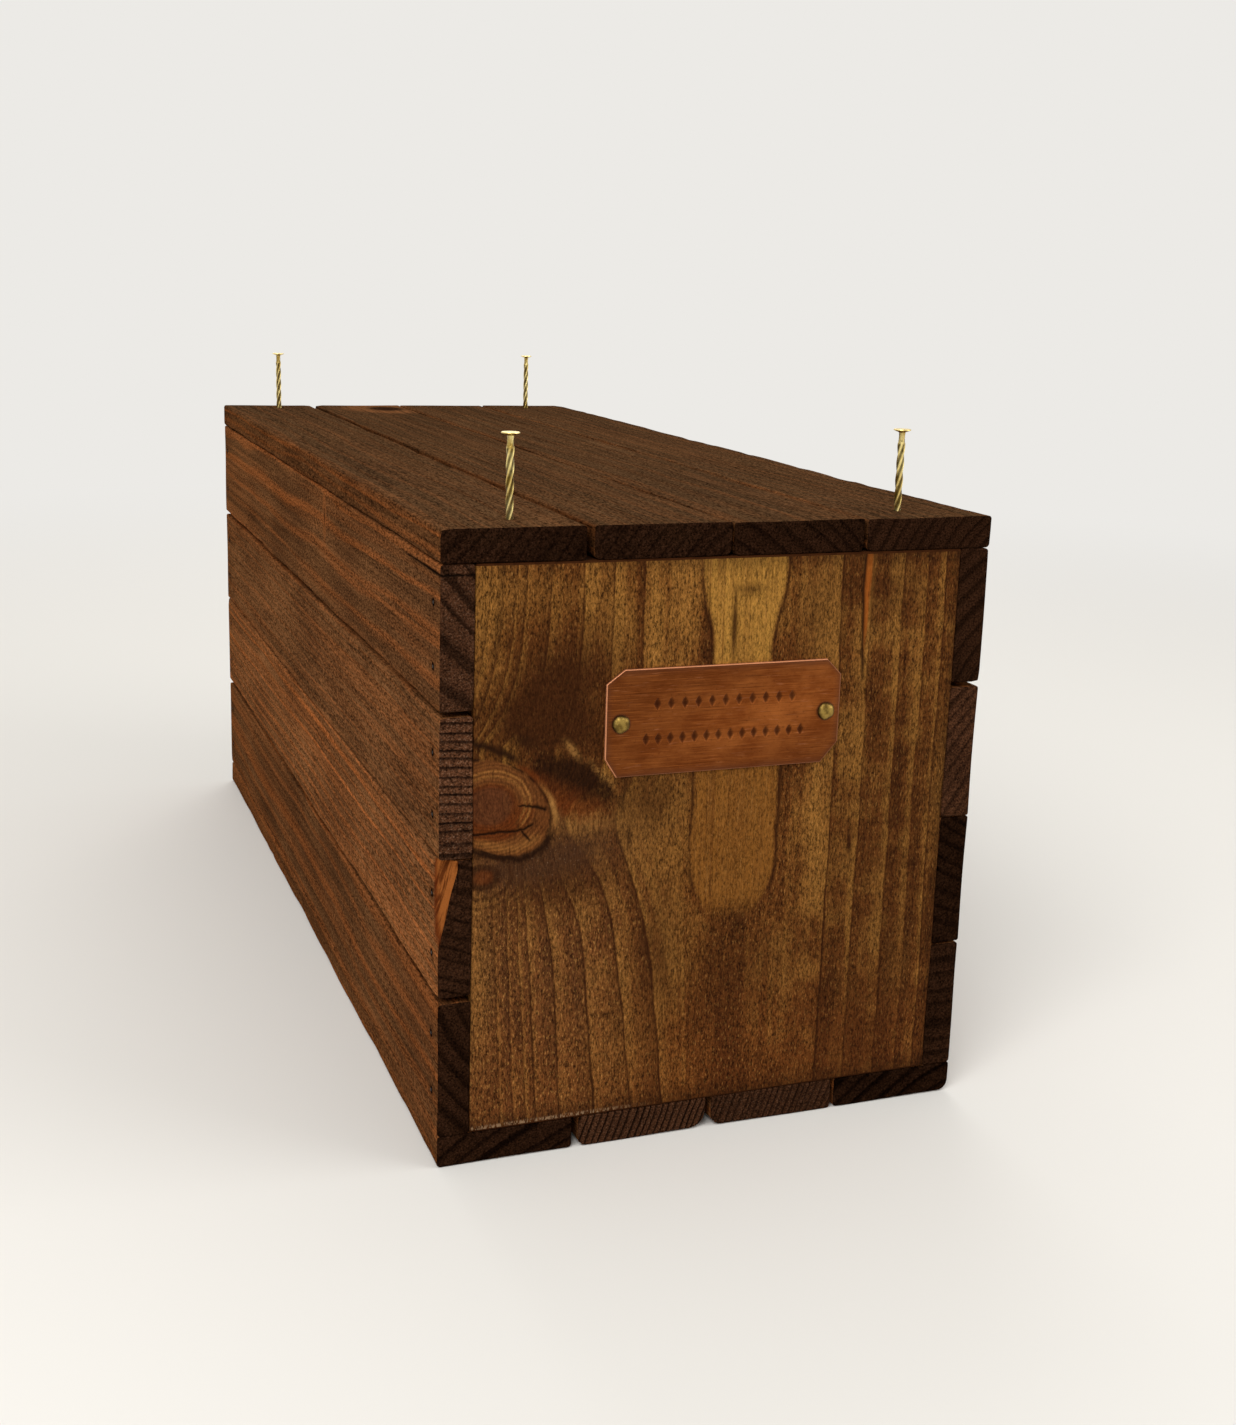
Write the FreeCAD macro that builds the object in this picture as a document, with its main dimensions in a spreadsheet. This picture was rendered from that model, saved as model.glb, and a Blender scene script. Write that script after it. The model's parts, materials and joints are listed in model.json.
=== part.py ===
import FreeCAD, Part
import math
import os
import Sketcher

# A slatted wooden box that is closed by nailing down its lid. Two upright end panels carry four slats
# on each side, four under the floor and a lid of four slats on two cleats.
# Millimetres, +Z up, the front end towards -Y.

V = FreeCAD.Vector
doc = FreeCAD.newDocument("nail_shut_box")

SLATS = 4
STEPS_PER_TURN = 12
NEARLY_ALONG = 0.999
NEARLY_OUTERMOST = 0.99


# Driving sizes, millimetres
driving = {
    # end panels: one board each, grain upright
    "panel_width": 184,
    "panel_height": 205,
    "panel_thickness": 38,
    # slats, set by hand with uneven gaps: across from the left, down from the top
    "box_length": 496,
    "slat_thickness": 11.8,
    "lid_gap_1": 2.8,
    "lid_gap_2": 0.8,
    "lid_gap_3": 1.6,
    "left_gap_1": 1.9,
    "left_gap_2": 0.5,
    "left_gap_3": 2.3,
    "right_gap_1": 1.9,
    "right_gap_2": 0.4,
    "right_gap_3": 0.9,
    "bottom_gap_1": 2.7,
    "bottom_gap_2": 2.4,
    "bottom_gap_3": 1.3,
    "edge_round": 1.2,
    "wane": 5,
    # cleats under the lid
    "cleat_width": 38,
    "cleat_thickness": 19,
    "cleat_clearance": 1,
    "cleat_bevel": 2,
    # twisted nails, each left standing at its own height
    "nail_length": 63.5,
    "proud_front_left": 29.6,
    "proud_front_right": 30,
    "proud_back_left": 31.2,
    "proud_back_right": 31.4,
    "shank_across": 3.2,
    "twist_pitch": 25,
    "neck_length": 4,
    "neck_diameter": 2.4,
    "point_length": 5,
    "point_flat": 0.4,
    "head_diameter": 6.4,
    "head_rim": 0.5,
    "head_cone": 0.8,
    "nail_offset": 3.6,
    "drive_room": 2,
    # fixings
    "hole_clearance": 0.06,
    "brad_diameter": 1.2,
    "brad_length": 30,
    "cleat_brad_length": 25,
    "brad_spread": 22,
    "brad_point": 1.5,
    # copper plate and its two pins
    "plate_width": 90.3,
    "plate_height": 38.5,
    "plate_thickness": 1,
    "plate_corner": 6,
    "plate_drop": 57.6,
    "pin_inset": 5.6,
    "pin_head_diameter": 6.4,
    "pin_head_height": 2,
    "pin_diameter": 1.8,
    "pin_length": 14,
    "pin_point": 2.5,
}


def make_sheet(name, rows):
    sheet = doc.addObject("Spreadsheet::Sheet", name)
    for row, (alias, content) in enumerate(rows.items(), 1):
        sheet.set(f"A{row}", alias)
        sheet.set(f"B{row}", str(content))
        sheet.setAlias(f"B{row}", alias)
    doc.recompute()
    return sheet


sizes = make_sheet("sizes", driving)

formulas = {
    "box_width": "=sizes.panel_width + 2 * sizes.slat_thickness",
    "box_height": "=sizes.panel_height + 2 * sizes.slat_thickness",
    "lid_underside": "=sizes.slat_thickness + sizes.panel_height",
}
for row, span, start, way in (
    ("lid", "box_width", "-box_width / 2", "+"),
    ("bottom", "box_width", "-box_width / 2", "+"),
    ("left", "sizes.panel_height", "lid_underside", "-"),
    ("right", "sizes.panel_height", "lid_underside", "-"),
):
    # each row's slats are of one width and share what its gaps leave; a slat is placed by its middle line
    gaps = [f"sizes.{row}_gap_{k}" for k in range(1, SLATS)]
    formulas[f"{row}_slat_width"] = f"=({span} - {' - '.join(gaps)}) / {SLATS}"
    for k in range(SLATS):
        run = " + ".join([f"{k + 0.5} * {row}_slat_width"] + gaps[:k])
        formulas[f"{row}_middle_{k + 1}"] = f"={start} {way} ({run})"
formulas.update({
    "panel_row": "=sizes.box_length / 2 - sizes.panel_thickness / 2",
    "side_brad_row": "=panel_row + sizes.panel_thickness / 4",
    "nail_reach": "=box_width / 2 - lid_slat_width / 2 - sizes.nail_offset",
    "nail_hole": "=sizes.shank_across + 2 * sizes.hole_clearance",
    "nail_hole_depth": "=sizes.nail_length - sizes.head_rim - sizes.head_cone - sizes.slat_thickness"
                       " + sizes.drive_room",
    "brad_hole": "=sizes.brad_diameter + 2 * sizes.hole_clearance",
    "brad_bite": "=sizes.brad_length - sizes.slat_thickness + sizes.hole_clearance",
    "cleat_length": "=sizes.panel_width - 2 * sizes.cleat_clearance",
    "cleat_row": "=panel_row - sizes.panel_thickness / 2 - sizes.cleat_clearance - sizes.cleat_width / 2",
    "cleat_bite": "=sizes.cleat_brad_length - sizes.cleat_thickness + sizes.hole_clearance",
    "plate_row": "=lid_underside - sizes.plate_drop",
    "plate_front": "=sizes.box_length / 2 + sizes.plate_thickness",
    "pin_reach": "=sizes.plate_width / 2 - sizes.pin_inset",
    "pin_hole": "=sizes.pin_diameter + 2 * sizes.hole_clearance",
    "pin_bite": "=sizes.pin_length - sizes.plate_thickness + sizes.hole_clearance",
    "dome_radius": "=(sizes.pin_head_diameter ^ 2 / 4 + sizes.pin_head_height ^ 2)"
                   " / (2 * sizes.pin_head_height)",
})
derived = make_sheet("derived", formulas)

parts = []


def add_part(label, obj):
    obj.Label = label
    parts.append(obj)
    return obj


def place(obj, x="0", y="0", z="0", axis=V(0, 0, 1), angle=0):
    obj.Placement = FreeCAD.Placement(V(), FreeCAD.Rotation(axis, angle))
    for name, expression in zip("xyz", (x, y, z)):
        obj.setExpression(f"Placement.Base.{name}", expression)


def make_body(name):
    return doc.addObject("PartDesign::Body", name)


def add_sketch(body, name, role, offset="0"):
    sketch = body.newObject("Sketcher::SketchObject", name)
    plane = next(p for p in body.Origin.OriginFeatures if p.Role == role)
    sketch.AttachmentSupport = (plane, "")
    sketch.MapMode = "FlatFace"
    sketch.setExpression("AttachmentOffset.Base.z", offset)
    return sketch


def drive(sketch, constraint, expression):
    index = sketch.addConstraint(constraint)
    sketch.setExpression(f"Constraints[{index}]", expression)


def draw_rectangle(sketch, width, height):
    corners = [V(-1, -1, 0), V(1, -1, 0), V(1, 1, 0), V(-1, 1, 0)]
    for k in range(4):
        sketch.addGeometry(Part.LineSegment(corners[k], corners[(k + 1) % 4]), False)
    for k in range(4):
        sketch.addConstraint(Sketcher.Constraint("Coincident", k, 2, (k + 1) % 4, 1))
        sketch.addConstraint(Sketcher.Constraint("Vertical" if k % 2 else "Horizontal", k))
    sketch.addConstraint(Sketcher.Constraint("Symmetric", 0, 1, 1, 2, -1, 1))
    drive(sketch, Sketcher.Constraint("DistanceX", 0, 1, 0, 2, 2.0), width)
    drive(sketch, Sketcher.Constraint("DistanceY", 1, 1, 1, 2, 2.0), height)


def draw_holes(sketch, centres, diameter):
    for x, y in centres:
        hole = sketch.addGeometry(Part.Circle(V(1, 1, 0), V(0, 0, 1), 0.5), False)
        drive(sketch, Sketcher.Constraint("Diameter", hole, 1.0), diameter)
        drive(sketch, Sketcher.Constraint("DistanceX", -1, 1, hole, 3, 1.0), x)
        drive(sketch, Sketcher.Constraint("DistanceY", -1, 1, hole, 3, 1.0), y)


def add_board(body, role, width, height, thickness):
    sketch = add_sketch(body, f"{body.Name}_outline", role)
    draw_rectangle(sketch, width, height)
    pad = body.newObject("PartDesign::Pad", f"{body.Name}_board")
    pad.Profile = sketch
    pad.setExpression("Length", thickness)
    sketch.Visibility = False
    doc.recompute()
    return pad


def drill(body, name, role, centres, diameter, depth=None, offset="0", reverse=False):
    # round holes along the plane's normal, right through where no depth is given
    sketch = add_sketch(body, f"{body.Name}_{name}_marks", role, offset)
    draw_holes(sketch, centres, diameter)
    doc.recompute()
    before = body.Shape.Volume
    pocket = body.newObject("PartDesign::Pocket", f"{body.Name}_{name}")
    pocket.Profile = sketch
    pocket.Reversed = reverse
    if depth is None:
        pocket.Type = "ThroughAll"
    else:
        pocket.setExpression("Length", depth)
    doc.recompute()
    if not body.Shape.Volume < before:
        raise RuntimeError(f"{pocket.Name} removes nothing")
    return pocket


def edges_along(shape, direction, keep=lambda middle: True):
    # names of the straight edges that run along a direction, and whose middle passes a test
    names = []
    for k, edge in enumerate(shape.Edges, 1):
        if edge.Curve.TypeId != "Part::GeomLine":
            continue
        if abs(edge.tangentAt(edge.FirstParameter).dot(direction)) > NEARLY_ALONG and keep(edge.CenterOfMass):
            names.append(f"Edge{k}")
    return names


def dress(body, kind, base, names, size, value):
    feature = body.newObject(f"PartDesign::{kind}", f"{body.Name}_{kind.lower()}")
    feature.Base = (base, names)
    feature.setExpression(size, value)
    doc.recompute()
    return feature


def pair(spread):
    return (f"-({spread}) / 2", f"({spread}) / 2")


def both(row):
    return (f"-({row})", row)


def inboard(k):
    # the fixings of an outer slat stand a little nearer the middle of the box:
    # the way along X, 0 for inner slats
    return {0: 1, SLATS - 1: -1}.get(k, 0)


def shifted(spread, way):
    return [f"{end} + ({way}) * sizes.nail_offset" for end in pair(spread)]


def along_row(row):
    # where the brads of every slat of a row stand across the box
    return [f"derived.{row}_middle_{k + 1} + {x}"
            for k in range(SLATS) for x in shifted("sizes.brad_spread", inboard(k))]


def make_slat(label, width, waned=()):
    # a board along Y with eased long edges, its outer face up;
    # a waned edge has lost its outer corner to the bark
    body = add_part(label, make_body(label))
    pad = add_board(body, "XY_Plane", width, "sizes.box_length", "sizes.slat_thickness")
    top = sizes.slat_thickness

    def lost(middle):
        return middle.z > top / 2 and math.copysign(1, middle.x) in waned

    names = edges_along(pad.Shape, V(0, 1, 0), lambda middle: not lost(middle))
    base = dress(body, "Fillet", pad, names, "Radius", "sizes.edge_round")
    if waned:
        outermost = NEARLY_OUTERMOST * V(pad.Shape.BoundBox.XMax, 0, top)

        def corner(middle):
            return lost(middle) and middle.z > outermost.z and abs(middle.x) > outermost.x

        names = edges_along(base.Shape, V(0, 1, 0), corner)
        dress(body, "Chamfer", base, names, "Size", "sizes.wane")
    return body


def grid(xs, ys):
    return [(x, y) for x in xs for y in ys]


# Lid: four slats on two cleats, with a nail hole near each corner
for k in range(SLATS):
    slat = make_slat(f"lid_slat_{k + 1}", "derived.lid_slat_width")
    marks = grid(shifted("sizes.brad_spread", inboard(k)), both("derived.cleat_row"))
    drill(slat, "cleat_holes", "XY_Plane", marks, "derived.brad_hole", "derived.cleat_bite", reverse=True)
    if inboard(k):
        nails = grid([f"({inboard(k)}) * sizes.nail_offset"], both("derived.panel_row"))
        drill(slat, "nail_holes", "XY_Plane", nails, "derived.nail_hole", reverse=True)
    place(slat, f"derived.lid_middle_{k + 1}", z="derived.lid_underside")

for end, way in (("front", -1), ("back", 1)):
    cleat = add_part(f"lid_cleat_{end}", make_body(f"lid_cleat_{end}"))
    pad = add_board(cleat, "XY_Plane", "derived.cleat_length", "sizes.cleat_width", "sizes.cleat_thickness")
    names = edges_along(pad.Shape, V(1, 0, 0), lambda middle: middle.z < sizes.cleat_thickness / 2)
    dress(cleat, "Chamfer", pad, names, "Size", "sizes.cleat_bevel")
    drill(cleat, "brad_holes", "XY_Plane", grid(along_row("lid"), ["0"]), "derived.brad_hole", reverse=True)
    place(cleat, y=f"({way}) * derived.cleat_row", z="derived.lid_underside - sizes.cleat_thickness")

# Sides: four slats each, from the top down, standing on edge against the edges of the end panels
side_marks = grid(pair("sizes.brad_spread"), both("derived.side_brad_row"))
for side, way in (("left", -1), ("right", 1)):
    for k in range(SLATS):
        slat = make_slat(f"{side}_slat_{k + 1}", f"derived.{side}_slat_width")
        drill(slat, "brad_holes", "XY_Plane", side_marks, "derived.brad_hole", reverse=True)
        place(slat, f"({way}) * sizes.panel_width / 2", z=f"derived.{side}_middle_{k + 1}",
              axis=V(0, 1, 0), angle=90 * way)

# Floor: four slats under everything, the two middle ones with bark-edged corners where they face each other
waned_edges = {1: (-1,), 2: (1,)}
for k in range(SLATS):
    slat = make_slat(f"bottom_slat_{k + 1}", "derived.bottom_slat_width", waned_edges.get(k, ()))
    marks = grid(shifted("sizes.brad_spread", -inboard(k)), both("derived.panel_row"))
    drill(slat, "brad_holes", "XY_Plane", marks, "derived.brad_hole", reverse=True)
    place(slat, f"derived.bottom_middle_{k + 1}", z="sizes.slat_thickness", axis=V(0, 1, 0), angle=180)

# End panels: in each one's own frame its outer face looks towards -Y and its lower edge is at the origin
for end, way, turn in (("front", -1, 0), ("back", 1, 180)):
    panel = add_part(f"end_panel_{end}", make_body(f"end_panel_{end}"))
    add_board(panel, "XY_Plane", "sizes.panel_width", "sizes.panel_thickness", "sizes.panel_height")
    drill(panel, "nail_holes", "XY_Plane", grid(both("derived.nail_reach"), ["0"]),
          "derived.nail_hole", "derived.nail_hole_depth", "sizes.panel_height")
    floor_marks = [f"({-way}) * ({x})" for x in along_row("bottom")]
    drill(panel, "floor_holes", "XY_Plane", grid(floor_marks, ["0"]),
          "derived.brad_hole", "derived.brad_bite", reverse=True)
    for side, edge in (("left", way), ("right", -way)):
        heights = [f"derived.{side}_middle_{k + 1} - sizes.slat_thickness + {z}"
                   for k in range(SLATS) for z in pair("sizes.brad_spread")]
        drill(panel, f"{side}_holes", "YZ_Plane", grid(["-sizes.panel_thickness / 4"], heights),
              "derived.brad_hole", "derived.brad_bite", f"({edge}) * sizes.panel_width / 2", edge < 0)
    if end == "front":
        height = "derived.plate_row - sizes.slat_thickness"
        drill(panel, "pin_holes", "XZ_Plane", grid(both("derived.pin_reach"), [height]),
              "derived.pin_hole", "derived.pin_bite", "sizes.panel_thickness / 2")
    place(panel, y=f"({way}) * derived.panel_row", z="sizes.slat_thickness", angle=turn)

# Plate: a thin sheet with clipped corners, pinned to the front panel
plate = add_part("copper_plate", make_body("copper_plate"))
pad = add_board(plate, "XZ_Plane", "sizes.plate_width", "sizes.plate_height", "sizes.plate_thickness")
clipped = dress(plate, "Chamfer", pad, edges_along(pad.Shape, V(0, 1, 0)), "Size", "sizes.plate_corner")
pin_marks = grid(both("derived.pin_reach"), ["0"])
drill(plate, "pin_holes", "XZ_Plane", pin_marks, "derived.pin_hole", reverse=True)
place(plate, y="-sizes.box_length / 2", z="derived.plate_row")


def make_round(kind, name, sizes_by_property, z="0"):
    solid = doc.addObject(f"Part::{kind}", name)
    for key, expression in sizes_by_property.items():
        solid.setExpression(key, expression)
    place(solid, z=z)
    return solid


def fuse(name, pieces):
    joined = doc.addObject("Part::MultiFuse", name)
    joined.Shapes = pieces
    joined.Refine = True
    return joined


def make_pin(label, x):
    # a domed head over a round shank that ends in a point, head up along +Z
    dome = make_round("Sphere", f"{label}_dome", {
        "Radius": "derived.dome_radius",
        "Angle1": "asin((derived.dome_radius - sizes.pin_head_height) / derived.dome_radius)",
    }, "sizes.pin_head_height - derived.dome_radius")
    shank = make_round("Cylinder", f"{label}_shank", {
        "Radius": "sizes.pin_diameter / 2",
        "Height": "sizes.pin_length - sizes.pin_point",
    }, "sizes.pin_point - sizes.pin_length")
    point = make_round("Cone", f"{label}_point", {
        "Radius1": "0",
        "Radius2": "sizes.pin_diameter / 2",
        "Height": "sizes.pin_point",
    }, "-sizes.pin_length")
    pin = add_part(label, fuse(label, [dome, shank, point]))
    place(pin, x, "-derived.plate_front", "derived.plate_row", V(1, 0, 0), 90)


make_pin("plate_pin_left", "-derived.pin_reach")
make_pin("plate_pin_right", "derived.pin_reach")


def make_square(name, across, z, turn):
    square = doc.addObject("Part::RegularPolygon", name)
    square.Polygon = 4
    square.setExpression("Circumradius", f"{across} / 2")
    place(square, z=z, angle=turn)
    return square


def loft(name, sections):
    solid = doc.addObject("Part::Loft", name)
    solid.Sections = sections
    solid.Solid = True
    return solid


def make_nail(label, x, y):
    # The head is at the top and the point hangs down. The shank is a square bar twisted about its own axis:
    # equal squares, each turned a little further than the one above, and lofted through.
    shank_top = "(-(sizes.head_rim + sizes.head_cone + sizes.neck_length))"
    shank_end = "(sizes.point_length - sizes.nail_length)"
    twisted = sizes.nail_length - sizes.point_length - sizes.head_rim - sizes.head_cone - sizes.neck_length
    steps = math.ceil(STEPS_PER_TURN * twisted / sizes.twist_pitch)
    turn = 360 * twisted / sizes.twist_pitch
    squares = [
        make_square(f"{label}_square_{k}", "sizes.shank_across",
                    f"{shank_top} + ({shank_end} - {shank_top}) * {k} / {steps}", -turn * k / steps)
        for k in range(steps + 1)
    ]
    shank = loft(f"{label}_shank", squares)
    collar = make_square(f"{label}_collar", "sizes.shank_across", shank_end, -turn)
    tip = make_square(f"{label}_tip", "sizes.point_flat", "-sizes.nail_length", -turn)
    point = loft(f"{label}_point", [collar, tip])
    point.Ruled = True
    rim = make_round("Cylinder", f"{label}_rim", {
        "Radius": "sizes.head_diameter / 2",
        "Height": "sizes.head_rim",
    }, "-sizes.head_rim")
    cone = make_round("Cone", f"{label}_cone", {
        "Radius1": "sizes.neck_diameter / 2",
        "Radius2": "sizes.head_diameter / 2",
        "Height": "sizes.head_cone",
    }, "-(sizes.head_rim + sizes.head_cone)")
    neck = make_round("Cylinder", f"{label}_neck", {
        "Radius": "sizes.neck_diameter / 2",
        "Height": "sizes.neck_length",
    }, shank_top)
    nail = add_part(label, fuse(label, [rim, cone, neck, shank, point]))
    place(nail, x, y, f"derived.box_height + sizes.{label.replace('nail', 'proud')}")


for end, y in (("front", "-derived.panel_row"), ("back", "derived.panel_row")):
    for side, x in (("left", "-derived.nail_reach"), ("right", "derived.nail_reach")):
        make_nail(f"nail_{end}_{side}", x, y)


def make_brad(name, length):
    # a headless round brad along +Z, its point at the top
    shank = make_round("Cylinder", f"{name}_shank", {
        "Radius": "sizes.brad_diameter / 2",
        "Height": f"{length} - sizes.brad_point",
    })
    point = make_round("Cone", f"{name}_point", {
        "Radius1": "sizes.brad_diameter / 2",
        "Radius2": "0",
        "Height": "sizes.brad_point",
    }, f"{length} - sizes.brad_point")
    return fuse(name, [shank, point])


long_brad = make_brad("long_brad", "sizes.brad_length")
cleat_brad = make_brad("cleat_brad", "sizes.cleat_brad_length")
doc.recompute()


def make_brads(label, brad, heads, direction):
    # one brad at each head position, all driven the same way
    turn = FreeCAD.Rotation(V(0, 0, 1), direction)
    shapes = []
    for head in heads:
        shape = brad.Shape.copy()
        shape.Placement = FreeCAD.Placement(head, turn)
        shapes.append(shape)
    group = add_part(label, doc.addObject("Part::Feature", label))
    group.Shape = Part.makeCompound(shapes)


half_spread = sizes.brad_spread / 2


def across(row):
    return [derived.get(f"{row}_middle_{k + 1}") + inboard(k) * sizes.nail_offset + step
            for k in range(SLATS) for step in (-half_spread, half_spread)]


cleat_underside = derived.lid_underside - sizes.cleat_thickness
make_brads("lid_brads", cleat_brad,
           [V(x, y, cleat_underside) for x in across("lid") for y in (-derived.cleat_row, derived.cleat_row)],
           V(0, 0, 1))
make_brads("bottom_brads", long_brad,
           [V(x, y, 0) for x in across("bottom") for y in (-derived.panel_row, derived.panel_row)],
           V(0, 0, 1))
for side, way in (("left", -1), ("right", 1)):
    heights = [derived.get(f"{side}_middle_{k + 1}") + step
               for k in range(SLATS) for step in (-half_spread, half_spread)]
    make_brads(f"{side}_brads", long_brad,
               [V(way * derived.box_width / 2, y, z)
                for z in heights for y in (-derived.side_brad_row, derived.side_brad_row)],
               V(-way, 0, 0))

doc.recompute()
for obj in doc.Objects:
    if "Invalid" in obj.State or "Error" in obj.State:
        raise RuntimeError(f"{obj.Label} did not rebuild: {obj.State}")
for part in parts:
    if part.Shape.isNull() or not part.Shape.isValid():
        raise RuntimeError(f"{part.Label} has no valid shape")

os.makedirs("parts", exist_ok=True)
for part in parts:
    part.Shape.exportStep(f"parts/{part.Label}.step")
    print(part.Label, len(part.Shape.Solids), "solid", round(part.Shape.Volume / 1000, 2), "cm3")
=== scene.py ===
import json
import math

import bpy
import numpy as np
from mathutils import Matrix, Vector


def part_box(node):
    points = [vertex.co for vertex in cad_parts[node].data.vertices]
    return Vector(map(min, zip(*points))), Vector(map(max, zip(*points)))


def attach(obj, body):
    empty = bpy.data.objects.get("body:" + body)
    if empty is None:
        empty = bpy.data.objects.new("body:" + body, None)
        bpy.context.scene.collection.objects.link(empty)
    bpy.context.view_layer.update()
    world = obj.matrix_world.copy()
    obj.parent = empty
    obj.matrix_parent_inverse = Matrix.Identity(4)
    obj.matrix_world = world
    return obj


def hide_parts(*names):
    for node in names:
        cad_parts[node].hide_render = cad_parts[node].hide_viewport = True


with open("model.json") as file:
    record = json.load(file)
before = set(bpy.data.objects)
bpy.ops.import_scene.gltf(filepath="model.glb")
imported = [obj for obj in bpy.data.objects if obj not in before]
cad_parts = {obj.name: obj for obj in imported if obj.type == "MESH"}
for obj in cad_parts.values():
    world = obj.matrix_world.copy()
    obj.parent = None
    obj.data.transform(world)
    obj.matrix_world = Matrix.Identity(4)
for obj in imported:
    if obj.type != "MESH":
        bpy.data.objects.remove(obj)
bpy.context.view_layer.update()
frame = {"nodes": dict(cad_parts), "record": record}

scene = bpy.context.scene
mm = 0.001
bodies = frame["record"]["behaviour"]["bodies"]
nodeBody = {node: body for body, members in bodies.items() for node in members}


class Field:
    # a socket whose value changes over the surface; arithmetic on it adds Math nodes
    def __init__(self, socket):
        self.socket = socket
        self.tree = socket.id_data

    @staticmethod
    def node(tree, kind, settings=None, sockets=None, out=0):
        made = tree.nodes.new(kind)
        for key, value in (settings or {}).items():
            if key == "stops":
                layStops(made.color_ramp, value)
            else:
                setattr(made, key, value)
        for key, value in (sockets or {}).items():
            if isinstance(value, Field):
                tree.links.new(value.socket, made.inputs[key])
            else:
                made.inputs[key].default_value = value
        return Field(made.outputs[out])

    def math(self, operation, *others):
        sockets = dict(enumerate((self, *others)))
        return Field.node(self.tree, "ShaderNodeMath", {"operation": operation}, sockets)

    def __add__(self, other):
        return self.math("ADD", other)

    def __sub__(self, other):
        return self.math("SUBTRACT", other)

    def __rsub__(self, other):
        return self * -1 + other

    def __mul__(self, other):
        return self.math("MULTIPLY", other)

    def __truediv__(self, other):
        return self.math("DIVIDE", other)

    def __pow__(self, other):
        return self.math("POWER", other)

    def __abs__(self):
        return self.math("ABSOLUTE")

    __radd__ = __add__
    __rmul__ = __mul__

    # from 0 to 1 between start and full, smoothly; start may be the higher of the two
    def ease(self, start, full):
        settings = {"interpolation_type": "SMOOTHSTEP"}
        sockets = {"Value": self, "From Min": start, "From Max": full}
        return Field.node(self.tree, "ShaderNodeMapRange", settings, sockets)

    # 1 at zero, falling off on both sides as exp(-(value / width)^2)
    def bell(self, width):
        share = self / width
        return (share * share * -1).math("EXPONENT")

    def most(self, other):
        return self.math("MAXIMUM", other)

    def least(self, other):
        return self.math("MINIMUM", other)


def layStops(ramp, stops):
    while len(ramp.elements) > 1:
        ramp.elements.remove(ramp.elements[-1])
    ramp.elements[0].position = stops[0][0]
    ramp.elements[0].color = stops[0][1]
    for place, colour in stops[1:]:
        ramp.elements.new(place).color = colour


def tint(red, green, blue):
    # a colour as it looks on screen, turned to the linear values that sockets take
    share = np.array([red, green, blue]) / 255
    linear = np.where(share <= 0.04045, share / 12.92, ((share + 0.055) / 1.055) ** 2.4)
    return (*linear.tolist(), 1.0)


def split(vector):
    return [Field.node(vector.tree, "ShaderNodeSeparateXYZ", None, {0: vector}, out) for out in range(3)]


def painted(tree, name):
    return split(Field.node(tree, "ShaderNodeAttribute", {"attribute_name": name}, None, "Vector"))


def placeOn(tree, scale=1 / mm):
    # x, y and z on the piece, mm unless scaled otherwise
    return [part * scale for part in split(Field.node(tree, "ShaderNodeTexCoord", None, None, "Object"))]


def cloud(tree, x, y, z, detail=2.0, rough=0.5):
    # soft noise from 0 to 1 at a place that is already scaled to the wanted grain
    place = Field.node(tree, "ShaderNodeCombineXYZ", None, {0: x, 1: y, 2: z})
    sockets = {"Vector": place, "Scale": 1.0, "Detail": detail, "Roughness": rough}
    return Field.node(tree, "ShaderNodeTexNoise", None, sockets)


def distance(u, v):
    return (u * u + v * v) ** 0.5


def oval(x, z, middleX, middleZ, wide, high, lean=0.0):
    # 0 in the middle of an oval leaned by an angle in degrees, 1 on its edge
    cosine, sine = math.cos(math.radians(lean)), math.sin(math.radians(lean))
    along = ((x - middleX) * cosine + (z - middleZ) * sine) / wide
    up = ((z - middleZ) * cosine - (x - middleX) * sine) / high
    return distance(along, up)


def smudge(x, z, *place):
    # a soft oval spot, 1 in its middle
    return oval(x, z, *place).bell(1.0)


def smudges(x, z, places):
    # soft spots added up; the last value of each is its strength
    return sum(smudge(x, z, *place) * strength for *place, strength in places).least(1.0)


def blend(factor, first, second):
    settings = {"data_type": "RGBA"}
    return Field.node(factor.tree, "ShaderNodeMix", settings, {0: factor, 6: first, 7: second}, 2)


def coat(look, first, *layers):
    # colours laid over each other: each layer is how much of it covers, and its colour;
    # a colour is a field or the name of one in the look
    def taken(colour):
        return look[colour] if isinstance(colour, str) else colour

    colour = taken(first)
    for factor, over in layers:
        colour = blend(factor, colour, taken(over))
    return colour


def dim(colour, factor):
    # a colour times a value
    sockets = {0: colour, "Scale": factor}
    return Field.node(colour.tree, "ShaderNodeVectorMath", {"operation": "SCALE"}, sockets)


def ramp(value, stops):
    return Field.node(value.tree, "ShaderNodeValToRGB", {"stops": stops}, {0: value})


def bump(height, distance, strength):
    sockets = {"Height": height, "Distance": distance, "Strength": strength}
    return Field.node(height.tree, "ShaderNodeBump", None, sockets)


def newFinish(name):
    finish = bpy.data.materials.new(name)
    finish.use_nodes = True
    return finish, finish.node_tree


def dress(finish, sockets):
    shader = finish.node_tree.nodes["Principled BSDF"]
    for key, value in sockets.items():
        if isinstance(value, Field):
            finish.node_tree.links.new(value.socket, shader.inputs[key])
        else:
            shader.inputs[key].default_value = value
    return finish


def boxOf(node):
    # a node's lowest and highest corners at rest, mm
    return [np.array(corner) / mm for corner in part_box(node)]


def ringQuads(first, second, count):
    # quads between closed loops of points, from the numbers of their first points
    index = np.arange(count)
    after = (index + 1) % count
    return np.stack([first + index, first + after, second + after, second + index], axis=-1).reshape(-1, 4)


def ringFan(first, tip, count):
    # triangles from a closed loop of points to one point
    index = np.arange(count)
    return np.stack([first + index, first + (index + 1) % count, np.full(count, tip)], axis=1)


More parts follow.
